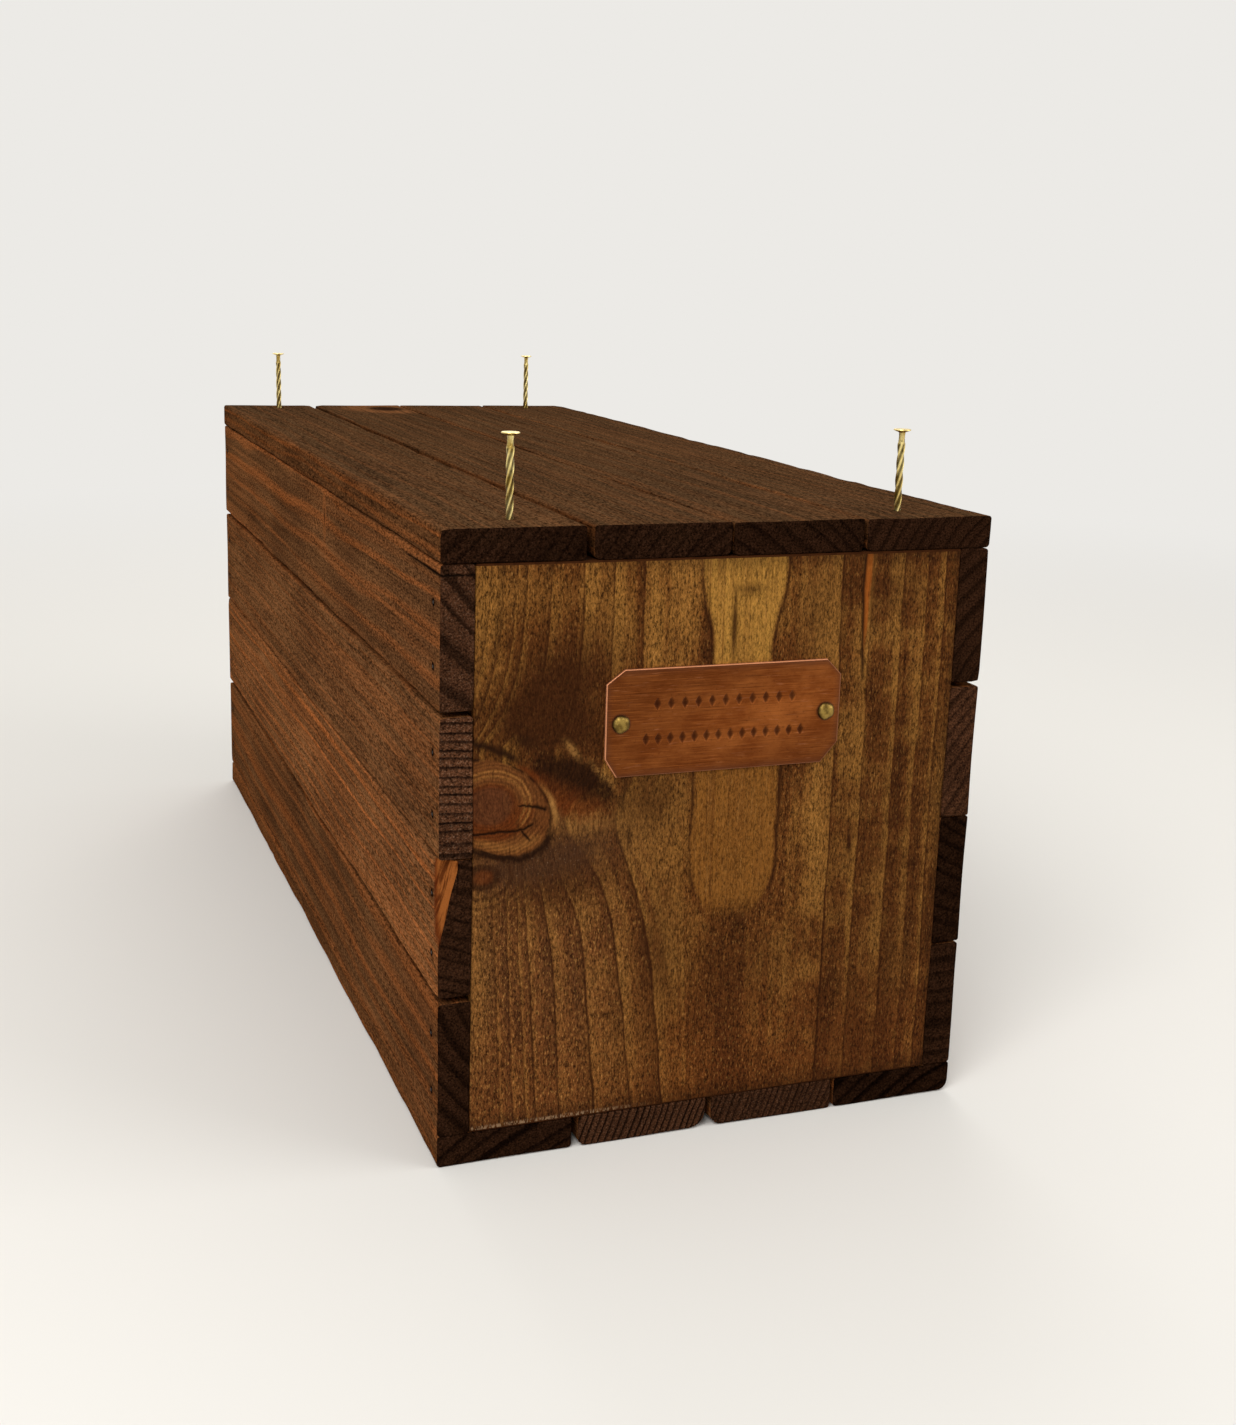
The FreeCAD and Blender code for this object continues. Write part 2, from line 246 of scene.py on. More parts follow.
def putPiece(node, kind, points, faces, finish, painting, sharp=40.0):
    # mesh from whole arrays in mm, in the frame's own place; painting holds attribute arrays
    name = f"{node}_{kind}"
    mesh = bpy.data.meshes.new(name)
    mesh.from_pydata(points * mm, [], faces)
    mesh.update()
    for key, (domain, values) in painting.items():
        layer = mesh.attributes.new(key, "FLOAT_VECTOR", domain)
        layer.data.foreach_set("vector", np.asarray(values, np.float32).ravel())
    mesh.polygons.foreach_set("use_smooth", np.ones(len(mesh.polygons), bool))
    mesh.set_sharp_from_angle(angle=math.radians(sharp))
    mesh.materials.append(finish)
    piece = bpy.data.objects.new(name, mesh)
    scene.collection.objects.link(piece)
    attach(piece, nodeBody[node])
    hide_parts(node)


cameraView = {
    "place": (-0.24732, -0.79041, 0.3120),
    "heading": -20.75,     # degrees about Z, from looking along +Y
    "pitch": -13.40,
    "roll": 1.73,
    "lens": 43.75,
    "shift": (0.0021, -0.0207),
}


def setCamera(look):
    lensData = bpy.data.cameras.new("photoCamera")
    lensData.sensor_width = 36.0
    lensData.lens = look["lens"]
    lensData.shift_x, lensData.shift_y = look["shift"]
    lensData.clip_start, lensData.clip_end = 0.01, 20.0
    camera = bpy.data.objects.new("photoCamera", lensData)
    turn = Matrix.Rotation(math.radians(look["heading"]), 4, "Z")
    tilt = Matrix.Rotation(math.radians(90 + look["pitch"]), 4, "X")
    lean = Matrix.Rotation(math.radians(look["roll"]), 4, "Z")
    camera.matrix_world = Matrix.Translation(look["place"]) @ turn @ tilt @ lean
    scene.collection.objects.link(camera)
    scene.camera = camera


setCamera(cameraView)

studio = {
    "floorColour": tint(226, 223, 217),
    "floorReach": 9.0,             # metres from the middle to each side
    "floorDrop": 0.0002,           # metres, just under the box
    "farColour": tint(236, 234, 230),
    "fade": (0.55, 1.7),           # metres from the box where the floor turns into the background
    "worldColour": tint(250, 249, 247),
    "worldStrength": 0.6,
    "lamps": {                     # place, watts, size in metres
        "keyLamp": ((-0.95, -1.25, 1.45), 26.0, 1.1),
        "fillLamp": ((1.3, -0.9, 0.9), 9.0, 1.2),
        "backLamp": ((0.3, 1.5, 1.5), 12.0, 1.4),
    },
    "aim": (0.0, 0.0, 0.12),
}


def seenDirectly(tree):
    # 1 for what the camera sees straight, in a mirror or through glass
    path = [Field.node(tree, "ShaderNodeLightPath", None, None, out)
            for out in ("Is Camera Ray", "Is Glossy Ray", "Is Transmission Ray")]
    return path[0].most(path[1]).most(path[2])


def floorFinish(look):
    # a matt floor near the box; further out it takes the colour of the background
    finish, tree = newFinish("paleFloor")
    dress(finish, {"Base Color": look["floorColour"], "Roughness": 0.9, "Specular IOR Level": 0.1})
    x, y, z = placeOn(tree, 1.0)
    shown = distance(x, y).ease(*look["fade"]) * seenDirectly(tree)
    glow = Field.node(tree, "ShaderNodeEmission", None, {"Color": look["farColour"], "Strength": 1.0})
    matt = Field(tree.nodes["Principled BSDF"].outputs[0])
    both = Field.node(tree, "ShaderNodeMixShader", None, {0: shown, 1: matt, 2: glow})
    tree.links.new(both.socket, tree.nodes["Material Output"].inputs["Surface"])
    return finish


def setStudio(look):
    side = np.array([-1, 1]) * look["floorReach"]
    x, y = np.meshgrid(side, side)
    corners = np.column_stack([x.ravel(), y.ravel(), np.full(4, -look["floorDrop"])])
    mesh = bpy.data.meshes.new("paleFloor")
    mesh.from_pydata(corners, [], [(0, 1, 3, 2)])
    mesh.materials.append(floorFinish(look))
    floor = bpy.data.objects.new("paleFloor", mesh)
    scene.collection.objects.link(floor)
    world = bpy.data.worlds.new("softStudio")
    world.use_nodes = True
    tree = world.node_tree
    seen = seenDirectly(tree)
    colour = blend(seen, look["worldColour"], look["farColour"])
    back = tree.nodes["Background"]
    tree.links.new(colour.socket, back.inputs["Color"])
    strength = seen * (1 - look["worldStrength"]) + look["worldStrength"]
    tree.links.new(strength.socket, back.inputs["Strength"])
    scene.world = world
    for name, (place, watts, size) in look["lamps"].items():
        lampData = bpy.data.lights.new(name, "AREA")
        lampData.energy = watts
        lampData.size = size
        lamp = bpy.data.objects.new(name, lampData)
        lamp.location = place
        lamp.rotation_euler = (Vector(look["aim"]) - Vector(place)).to_track_quat("-Z", "Y").to_euler()
        scene.collection.objects.link(lamp)
    scene.view_settings.view_transform = "Standard"


setStudio(studio)
print("camera and studio set")

slatStain = {
    "light": tint(126, 83, 49),
    "middle": tint(96, 60, 34),
    "dark": tint(52, 29, 14),
    "orange": tint(164, 91, 43),
    "endLight": tint(92, 58, 38),
    "endDark": tint(42, 24, 14),
    "dust": tint(138, 110, 88),
    "rubbed": tint(150, 94, 54),
    "weathered": tint(128, 99, 69),
    "endLine": tint(22, 12, 7),
    "torn": tint(140, 80, 36),
    "tornDark": tint(74, 34, 12),
    "tornRed": tint(80, 30, 10),
    "void": tint(16, 9, 5),
    "drift": 14.0,                        # how far the rings wander along the board, mm
    "split": (-180.0, -216.0),            # where the split of a front end fades out along the box, mm
    "lidKnot": (-13.0, 224.0, 9.0, 11.0),     # middle and half sizes, mm
    "sideKnot": (-52.0, 205.0, 1.6, 5.0),
}


def slatFinish(look):
    # rings round a pith line along the board: phase = radius / ring width, dark late wood
    # just before each ring ends; fibres and pores are noise drawn out along the board
    finish, tree = newFinish("slatStain")
    across, along, depth = painted(tree, "grain")
    ringWidth, stain, endFace = painted(tree, "look")
    endLines, streaks, weather = painted(tree, "figure")
    rub, torn, splitGap = painted(tree, "wear")
    markAcross, markAlong, markSize = painted(tree, "mark")
    x, y, z = placeOn(tree)

    def drawn(wide, long, detail=2.0, rough=0.5, shift=0.0):
        # noise with so many grains to the mm across and along the board
        return cloud(tree, across * wide, along * long + shift, depth * wide, detail, rough)

    ringAcross = across + (drawn(0.012, 0.0045) - 0.5) * look["drift"]
    ringDepth = depth + (drawn(0.012, 0.0045, shift=40.0) - 0.5) * look["drift"]
    radius = distance(ringAcross, ringDepth)
    uneven = cloud(tree, radius * 0.11, along * 0.002, 3.7)
    jitter = drawn(0.9, 0.03)
    ring = radius / ringWidth + uneven * 1.6 + jitter * 0.22
    phase = ring.math("FRACT")
    whole = ring.math("FLOOR")
    chance = Field.node(tree, "ShaderNodeTexWhiteNoise", {"noise_dimensions": "1D"}, {"W": whole})

    def lateWood(start, full, fade, weakest):
        # the dark end of each ring, by chance weaker in some rings
        return phase.ease(start, full) * phase.ease(1.0, fade) * (chance * (1 - weakest) + weakest)

    late = lateWood(0.15, 0.78, 0.84, 0.25)
    fibre = drawn(1.1, 0.016, 4.0, 0.7)
    hair = drawn(3.2, 0.06, 2.0, 0.6)
    pore = drawn(2.4, 0.11, 1.0).ease(0.63, 0.74)
    blotch = drawn(0.028, 0.011, 3.0, 0.6)
    streak = drawn(0.16, 0.004, shift=9.0)
    fuzz = drawn(1.4, 0.4, 3.0, 0.75)
    band = drawn(0.4, 0.007, 4.0, 0.65, 5.0)
    chafe = drawn(0.12, 0.05, 3.0, 0.6)
    speck = drawn(1.8, 0.4, 2.0, 0.6)
    splinter = cloud(tree, (depth + across * 0.22) * 1.5, across * 0.06, along * 0.06, 3.0, 0.7)

    side = coat(
        look, "middle",
        (blotch.ease(0.3, 0.75), "light"),
        (streak.ease(0.46, 0.66) * 0.22, "orange"),
        (lateWood(0.5, 0.8, 0.88, 0.4) * streaks, "orange"),
        (phase.ease(0.35, 0.0) * streaks * 0.18, "dark"),
        (fibre.ease(0.52, 0.8) * 0.35, "dark"),
        (fibre.ease(0.48, 0.2) * 0.25, "light"),
        (pore * 0.4, "dark"),
        (hair.ease(0.55, 0.8) * 0.25, "dark"),
        (weather, "weathered"),
        (rub * chafe.ease(0.45, 0.65) * 0.45, "rubbed"),
    )
    end = coat(
        look, "endLight",
        (blotch.ease(0.35, 0.7) * 0.5, "endDark"),
        (speck.ease(0.5, 0.66) * 0.5, "endDark"),
        (speck.ease(0.46, 0.3) * weather, "dust"),
        (lateWood(0.45, 0.8, 0.88, 0.75) * endLines, "endLine"),
    )
    tornWood = coat(
        look, "torn",
        (splinter.ease(0.46, 0.6) * 0.9, "tornDark"),
        (x.ease(-102.2, -103.5) * 0.8, "tornRed"),
    )
    rough = (fuzz - 0.5) * 5.0 + (band - 0.5) * (1.7 - endFace) + (fibre - 0.5) * 0.8 + 1.0
    colour = dim(blend(endFace, side, end), stain * rough.most(0.2))

    reach = oval(x, y, *look["lidKnot"]) + (blotch - 0.5) * 0.5
    onLid = z.ease(214.0, 216.0) * x.ease(-52.4, -51.0) * x.ease(1.0, 0.2)
    paleRing = (reach - 1.9).bell(0.9) * fibre.ease(0.3, 0.6) * onLid * (0.5 - endFace * 0.45)
    knotRings = (reach * 22.0).math("SINE") * 0.15 + 0.85
    slit = oval(y, z, *look["sideKnot"])
    onLeft = x.ease(-100.0, -101.0)
    # painted shade: a dark disc for the hole at each nail and brad with a darker halo round it, and a dark
    # line along the split in one front end; the mesh has no hole or split cut in it
    markFar = distance(markAcross, markAlong) / markSize
    gap = (splitGap + jitter * 1.4 - 0.7).bell(0.4) * y.ease(*look["split"])
    gap = markFar.ease(1.1, 0.75).most(gap)
    colour = coat(
        look, colour,
        (torn, tornWood),
        (paleRing, "rubbed"),
        (reach.ease(1.15, 0.75) * knotRings * onLid, "endDark"),
        ((slit - 1.6).bell(0.8) * onLeft * 0.2, "orange"),
        (slit.ease(0.8, 0.25) * onLeft * 0.85, "endDark"),
        (markFar.bell(2.2) * 0.45, "dark"),
        (gap, "void"),
    )
    relief = late * 0.5 + fibre * 0.8 - pore * 0.9 + hair * 0.5 + speck * endFace * 1.2 - gap * 3.0
    return dress(finish, {
        "Base Color": colour,
        "Roughness": 0.56 + fibre * 0.16 + endFace * 0.2 + torn * 0.2 - blotch * 0.1,
        "Specular IOR Level": 0.0,
        "Normal": bump(relief, 0.0004, 0.7),
    })


boardForm = {
    "arcSteps": 6,
    "acrossSteps": 14,
    "edgeSteps": 4,
    "stationGap": 5.0,
    "closeStretch": 14.0,     # the front end has closer stations over this length, mm
    "closeSteps": 11,
    "endRound": 0.7,
    "endSteps": 4,
    "wander": 0.16,           # how far the faces dip below a true plane, mm
    "nick": 0.45,             # deepest nick in a long edge, mm
    "nickGap": 9.0,
    "ringScales": (0.985, 0.86, 0.62, 0.34),
}


def boardSurface(width, thick, length, look, seed, form):
    # a rounded rectangle (across, depth) carried along the length; the profile pulls in by
    # endRound * (1 - cos) at both ends, faces dip as two sines, edges lose small nicks
    draw = np.random.default_rng(seed)
    half = length / 2
    lowOuter, highOuter, highInner, lowInner = look["corners"]
    right, left = width / 2, -width / 2

    def run(start, end, normal, count):
        share = np.linspace(0, 1, count + 2)[1:-1, None]
        line = np.array(start) + (np.array(end) - np.array(start)) * share
        return np.column_stack([line, np.tile(normal, (count, 1)), np.full(count, -1)])

    def arc(middle, radius, start, corner):
        turn = np.radians(np.linspace(start, start - 90, form["arcSteps"]))
        unit = np.column_stack([np.cos(turn), np.sin(turn)])
        return np.column_stack([np.array(middle) + radius * unit, unit, np.full(len(turn), corner)])

    wide, narrow = form["acrossSteps"], form["edgeSteps"]
    profile = np.concatenate([
        run((left + lowOuter, thick), (right - highOuter, thick), (0, 1), wide),
        arc((right - highOuter, thick - highOuter), highOuter, 90, 0),
        run((right, thick - highOuter), (right, highInner), (1, 0), narrow),
        arc((right - highInner, highInner), highInner, 0, 1),
        run((right - highInner, 0), (left + lowInner, 0), (0, -1), wide),
        arc((left + lowInner, lowInner), lowInner, -90, 2),
        run((left, lowInner), (left, thick - lowOuter), (-1, 0), narrow),
        arc((left + lowOuter, thick - lowOuter), lowOuter, 180, 3),
    ])
    count = len(profile)
    around = np.arange(count) / count

    turn = np.linspace(0, np.pi / 2, form["endSteps"])
    endAlong = half - form["endRound"] * (1 - np.sin(turn))
    endInset = form["endRound"] * (1 - np.cos(turn))
    inner = endAlong[0]
    close = -inner + form["closeStretch"]
    near = np.linspace(-inner, close, form["closeSteps"])[1:]
    plain = np.linspace(close, inner, max(6, int(length / form["stationGap"])))[1:-1]
    along = np.concatenate([-endAlong[::-1], near, plain, endAlong])
    inset = np.concatenate([endInset[::-1], np.zeros(len(near) + len(plain)), endInset])
    rows = len(along)

    phases = draw.uniform(0, 2 * np.pi, 2)
    lengths = draw.uniform((110, 47), (190, 80))
    sway = np.sin(2 * np.pi * (along[:, None] / lengths[0] + 2 * around) + phases[0])
    sway = sway + 0.6 * np.sin(2 * np.pi * (along[:, None] / lengths[1] + 3 * around) + phases[1])
    marks = np.linspace(-half, half, max(8, int(length / form["nickGap"])))
    depths = np.clip(draw.uniform(-1.2, 1.0, (4, len(marks))), 0, 1) ** 2
    nicks = np.stack([np.interp(along, marks, row) for row in depths] + [np.zeros(rows)])
    nick = nicks[profile[:, 4].astype(int)].T
    lift = form["wander"] * sway - form["nick"] * nick - inset[:, None]

    across = np.clip(profile[:, 0] + profile[:, 2] * lift, left, right)
    depth = np.clip(profile[:, 1] + profile[:, 3] * lift, 0, thick)
    station = np.repeat(along[:, None], count, axis=1)
    torn = np.zeros_like(across)
    tear = look["tear"]
    if tear:
        share = np.clip((across - right + tear["reach"]) / tear["reach"], 0, 1)
        fade = np.clip(1 - (station + half) / tear["back"], 0, 1)
        ragged = 1 + 0.05 * np.sin(across * 1.9) + 0.04 * np.sin(across * 4.3)
        limit = thick - tear["wide"] * share * fade * ragged
        torn = np.clip((depth - limit) / tear["blur"], 0, 1)
        depth = np.minimum(depth, limit)
    rub = np.repeat((profile[:, 4] >= 0)[None, :].astype(float), rows, axis=0)
    rub = np.maximum(rub, (inset > 0)[:, None] * 0.6)

    def cap(row):
        loop = np.stack([across[row], station[row], depth[row], rub[row] * 0, torn[row] * 0], axis=1)
        middle = np.array([0, station[row, 0], thick / 2, 0, 0])
        rings = [middle + (loop - middle) * scale for scale in form["ringScales"]]
        return np.concatenate([*rings, middle[None]])

    body = np.stack([across, station, depth, rub, torn], axis=2).reshape(-1, 5)
    front, back = cap(0), cap(-1)
    base = (np.arange(rows - 1) * count)[:, None]
    quads, fans = [ringQuads(base, base + count, count)], []
    frontStart, backStart = len(body), len(body) + len(front)
    for start, first, way in ((frontStart, 0, -1), (backStart, (rows - 1) * count, 1)):
        starts = [first] + [start + k * count for k in range(len(form["ringScales"]))]
        quads += [ringQuads(outer, within, count)[:, ::way] for outer, within in zip(starts[:-1], starts[1:])]
        fans.append(ringFan(starts[-1], start + len(front) - 1, count)[:, ::way])
    quads, fans = np.concatenate(quads), np.concatenate(fans)
    step = np.arange(len(quads)) // count
    isEnd = (step < len(turn) - 1) | (step >= rows - len(turn))
    isEnd = np.concatenate([isEnd, np.ones(len(fans), bool)])
    sideways = np.abs(profile[:, 2] + np.roll(profile[:, 2], -1)) / 2
    edge = np.concatenate([np.tile(sideways, rows - 1), np.zeros(len(isEnd) - count * (rows - 1))])
    return np.concatenate([body, front, back]), quads, fans, np.column_stack([isEnd, edge])


# across, along and outward directions of each row of boards
rowAxes = {
    "lid": ((1, 0, 0), (0, 1, 0), (0, 0, 1)),
    "left": ((0, 0, 1), (0, 1, 0), (-1, 0, 0)),
    "right": ((0, 0, 1), (0, 1, 0), (1, 0, 0)),
    "bottom": ((1, 0, 0), (0, 1, 0), (0, 0, -1)),
    "front": ((1, 0, 0), (0, 0, 1), (0, -1, 0)),
    "back": ((1, 0, 0), (0, 0, 1), (0, 1, 0)),
    "cleat": ((0, -1, 0), (1, 0, 0), (0, 0, 1)),
}


def board(pith, ring, tone, end, figure=(0.5, 0.5, 0.0), corners=(1.0, 1.0, 1.0, 1.0), **more):
    # pith place (across, depth) from the board's middle, ring width, tone of the long faces and of
    # the ends, figure (see paintBoard), and the corner radii: outer low, outer high, inner high,
    # inner low; all mm. More: tone of the narrow faces (lighter than the top on the lid's outer slats,
    # which is painted light), dust on the ends, place of a split, a tear
    plain = dict(edge=tone, dust=0.1, split=99.0, tear=None)
    own = dict(pith=pith, ring=ring, tone=tone, end=end, figure=figure, corners=corners)
    return {**plain, **own, **more}


tornEnd = {"reach": 31.0, "wide": 6.7, "back": 7.0, "blur": 0.3}
slats = {
    # on the lid's outer slats edge=0.52 makes the narrow faces lighter than the top: painted light
    "lid_slat_1": board((-70, 64), 5.0, 0.38, 0.20, (0.5, 0.5, 0.42), (1.3, 0.9, 2.2, 2.0), edge=0.52),
    "lid_slat_2": board((66, -60), 4.2, 0.36, 0.19, (0.5, 0.5, 0.42), (0.9, 0.9, 2.4, 2.0)),
    "lid_slat_3": board((-60, -80), 5.5, 0.38, 0.18, (0.6, 0.5, 0.42), (0.9, 0.9, 1.8, 2.2)),
    "lid_slat_4": board((80, -54), 4.6, 0.38, 0.21, (0.6, 0.5, 0.42), (0.9, 1.3, 1.6, 2.0), edge=0.52),
    "left_slat_1": board((60, -62), 8.5, 0.67, 0.46, (0.8, 0.7, 0.08), (1.0, 1.2, 1.0, 1.0),
                         dust=0.4, split=21.4),
    "left_slat_2": board((-230, 2), 3.5, 0.73, 0.80, (0.98, 0.35, 0.1), (1.1, 1.0, 1.0, 1.0), dust=0.4),
    "left_slat_3": board((96, -34), 5.2, 0.92, 0.29, (0.6, 0.7, 0.05), tear=tornEnd),
    "left_slat_4": board((54, -72), 6.4, 0.60, 0.23, (0.65, 0.6, 0.08), (1.6, 1.0, 1.0, 1.0)),
    "right_slat_1": board((-64, 62), 6.0, 0.65, 0.25, (0.6, 0.6, 0.05), (1.0, 1.2, 1.0, 1.0)),
    "right_slat_2": board((-58, 70), 4.4, 0.68, 0.52, (0.6, 0.5, 0.05)),
    "right_slat_3": board((80, 44), 5.4, 0.62, 0.14, (0.6, 0.7, 0.0)),
    "right_slat_4": board((-150, 4), 6.8, 0.66, 0.24, (0.6, 0.6, 0.05), (1.6, 1.0, 1.0, 1.0)),
    "bottom_slat_1": board((62, 100), 6.2, 0.62, 0.22, (0.85, 0.6, 0.05), (1.6, 1.4, 1.0, 1.0)),
    "bottom_slat_2": board((190, 66), 2.4, 0.60, 0.60, (1.0, 0.5, 0.05), (3.2, 6.2, 1.0, 1.0), dust=0.35),
    "bottom_slat_3": board((186, 72), 2.6, 0.62, 0.39, (0.7, 0.5, 0.05), (4.4, 1.6, 1.0, 1.0), dust=0.35),
    "bottom_slat_4": board((58, 96), 7.0, 0.62, 0.15, (0.85, 0.6, 0.05), (1.4, 4.2, 1.0, 1.0)),
}
cleats = {
    "lid_cleat_front": board((-40, -40), 3.6, 1.25, 1.1, corners=(0.8, 0.8, 2.2, 2.2)),
    "lid_cleat_back": board((46, -36), 4.1, 1.2, 1.05, corners=(0.8, 0.8, 2.2, 2.2)),
}
seedStep = 977.0      # how far apart boards lie along the grain, mm, so that no two look alike


def paintBoard(points, kinds, thick, look, seed, marks):
    # grain: place from the pith, mm; look: ring width, tone, end flag; figure: strength of the
    # lines on the ends, of the streaks on the faces, and weathering or dust; wear: rub, torn, way to
    # the split; mark: way to the nearest fixing across and along the board, and its radius
    isEnd, edge = kinds.T
    pithAcross, pithDepth = look["pith"]
    pith = np.array([pithAcross, -seedStep * seed, pithDepth + thick / 2])
    # narrow faces take the edge tone, which on the lid's outer slats is painted light
    faceTone = look["tone"] + (look["edge"] - look["tone"]) * edge
    tone = np.where(isEnd > 0, look["end"], faceTone)
    figure = np.tile(look["figure"], (len(tone), 1))
    figure[:, 2] = np.where(isEnd > 0, look["dust"], figure[:, 2] * (1 - edge))
    middle, spread, row, radius = marks
    markAcross = np.abs(points[:, 0] - middle) - spread
    markAlong = np.abs(points[:, 1]) - row
    return {
        "grain": ("POINT", points[:, :3] - pith),
        "look": ("FACE", np.column_stack([np.full(len(tone), look["ring"]), tone, isEnd])),
        "figure": ("FACE", figure),
        "wear": ("POINT", np.column_stack([points[:, 3], points[:, 4], points[:, 0] - look["split"]])),
        "mark": ("POINT", np.column_stack([markAcross, markAlong, np.full(len(points), radius)])),
    }


fixings = {
    "left": ("left_brads", 0, -1, 1.6),        # node, axis and way it was driven from, mark radius
    "right": ("right_brads", 0, 1, 1.6),
    "bottom": ("bottom_brads", 2, -1, 1.6),
}
nails = ("nail_front_left", "nail_front_right", "nail_back_left", "nail_back_right")
nailMark = 1.75
noMark = (0.0, 500.0, 900.0, 1.0)              # too far away to show


def bradHeads(node, axis, way):
    # middles of the brads' outer ends: the outermost points of the node, gathered by place
    mesh = frame["nodes"][node].data
    points = np.zeros(len(mesh.vertices) * 3, np.float32)
    mesh.vertices.foreach_get("co", points)
    points = points.reshape(-1, 3) / mm
    outer = points[points[:, axis] * way > (points[:, axis] * way).max() - 0.05]
    heads = []
    while len(outer):
        near = np.linalg.norm(outer - outer[0], axis=1) < 4.0
        heads.append((outer[near].min(axis=0) + outer[near].max(axis=0)) / 2)
        outer = outer[~near]
    return np.array(heads)


def marksOf(row, axes, middle, wide):
    # middle and half spread of the fixings across the board, their place along it and radius
    if row == "lid":
        heads, radius = np.array([sum(boxOf(nail)) / 2 for nail in nails]), nailMark
    elif row in fixings:
        source, axis, way, radius = fixings[row]
        heads = bradHeads(source, axis, way)
    else:
        return noMark
    offsets = (heads - middle) @ axes.T
    own = offsets[np.abs(offsets[:, 0]) < wide / 2]
    if not len(own):
        return noMark
    across = own[:, 0]
    return (across.max() + across.min()) / 2, np.ptp(across) / 2, np.abs(own[:, 1]).mean(), radius


def makeBoard(node, row, look, seed, form, finish, kind):
    # the board's own box gives its width, length and thickness along the row's directions
    axes = np.array(rowAxes[row], float)
    low, high = boxOf(node)
    middle = (low + high) / 2
    wide, long, thick = np.abs(axes @ (high - low))
    points, quads, fans, kinds = boardSurface(wide, thick, long, look, seed, form)
    place = middle - axes[2] * thick / 2 + points[:, :3] @ axes
    if np.linalg.det(axes) < 0:
        quads, fans = quads[:, ::-1], fans[:, ::-1]
    painting = paintBoard(points, kinds, thick, look, seed, marksOf(row, axes, middle, wide))
    putPiece(node, kind, place, quads.tolist() + fans.tolist(), finish, painting)


slatWood = slatFinish(slatStain)
for seed, (node, look) in enumerate(slats.items(), 1):
    makeBoard(node, node.split("_")[0], look, seed, boardForm, slatWood, "board")
print("slats made:", len(slats))
for seed, (node, look) in enumerate(cleats.items(), 31):
    makeBoard(node, "cleat", look, seed, boardForm, slatWood, "batten")
print("cleats made:", len(cleats))

frontPanel = {
    "deep": tint(54, 28, 11),
    "base": tint(84, 48, 19),
    "pale": tint(122, 82, 36),
    "spark": tint(149, 105, 54),
    "low": tint(97, 52, 21),
    "line": tint(44, 22, 8),
    "shade": tint(30, 15, 7),
    "void": tint(15, 8, 4),
    "tongueTop": tint(157, 113, 49),
    "tongueLow": tint(118, 75, 29),
    "resin": tint(142, 74, 25),
    "knotCore": tint(79, 43, 23),
    "knotPale": tint(96, 56, 26),
    "knotRed": tint(86, 40, 14),
    "knotGold": tint(138, 90, 43),
    "knotRim": tint(48, 24, 10),
    "ash": tint(62, 38, 22),
    "ashPale": tint(108, 69, 40),
    "grit": tint(140, 112, 84),
    # late wood lines from left to right at the top, mm from the middle, with their strength
    "leftLines": ((-86.5, 0.5), (-81.7, 0.55), (-77.2, 0.5), (-73.5, 0.85), (-64.7, 0.8),
                  (-53.2, 0.95), (-42.4, 0.8), (-31.7, 0.95)),
    "rightLines": ((44.5, 0.95), (56.6, 0.6), (69.5, 0.6), (79.2, 0.35), (86.5, 0.75)),
    "knot": (-85.0, 133.8),
    "tongue": (6.0, 80.6, 16.6, 27.0),    # middle, lower end, half width, length of its round end
    "waist": (182.0, 19.0, 0.34),         # height, reach and depth of its narrow place
    # darker and lighter places: middle, half sizes, lean, strength
    "clouds": ((-62, 174, 23, 16, 24, 1.1), (-64, 159, 20, 8, -8, 1.0), (-28, 131, 14, 14, 0, 0.75),
               (-62, 103, 24, 12, 5, 0.8), (-22, 74, 8, 28, 0, 0.5), (8, 62, 26, 17, 0, 0.45),
               # the spots at (34, 195) and (62, 204) darken the strip under the lid: partly stain, partly a
               # painted shadow of the lid
               (72, 100, 30, 95, 0, 0.4), (34, 195, 8, 22, 0, 0.4), (62, 204, 20, 12, 0, 0.45),
               (62, 28, 20, 16, 0, 0.45), (53.1, 108, 0.9, 4.5, 4, 0.9)),
    "lights": ((-91, 200, 8, 24, 0, 1.0), (-91, 68, 6, 38, 0, 1.0), (-38, 36, 16, 20, 0, 0.6),
               (-75, 207, 16, 9, 0, 0.5), (91, 125, 6, 26, 0, 0.8), (77, 55, 6, 13, 0, 0.5),
               (-90, 99, 6, 3, 0, 0.9), (55, 50, 5, 8, 0, 0.3)),
}
backPanel = dict(
    frontPanel,
    leftLines=((-84, 0.6), (-75, 0.8), (-69, 0.5), (-60, 0.85), (-47, 0.7), (-36, 0.9), (-22, 0.5)),
    rightLines=((34, 0.6), (45, 0.9), (53, 0.55), (64, 0.8), (70, 0.5), (80, 0.85), (88, 0.6)),
    tongue=(9.0, 48.0, 13.0, 70.0),
    waist=(150.0, 40.0, 0.2),
    knot=None,
    clouds=((-40, 60, 30, 25, 10, 0.5), (50, 150, 20, 50, 0, 0.4), (-70, 170, 14, 30, 0, 0.35)),
    lights=((-60, 110, 12, 40, 0, 0.3), (40, 60, 14, 30, 0, 0.3)),
)


def lineStops(lines, low, high, inner):
    # red is the late wood line, green how pale the wood is: palest just beside the line on the
    # side of the board's middle (inner 1 is after the line, -1 before it), then slowly deeper
    unit = 1 / (high - low)
    stops = []
    for place, strength in lines:
        at = (place - low) * unit
        trio = [
            (at - inner * 0.6 * unit, (strength * 0.15, 0.02, 0, 1)),
            (at, (strength, 0.15, 0, 1)),
            (at + inner * 0.5 * unit, (0.0, 1.0, 0, 1)),
        ]
        stops += trio[::inner]
    return [(0.0, (0, 0.3, 0, 1))] + stops + [(1.0, (0, 0.25, 0, 1))]


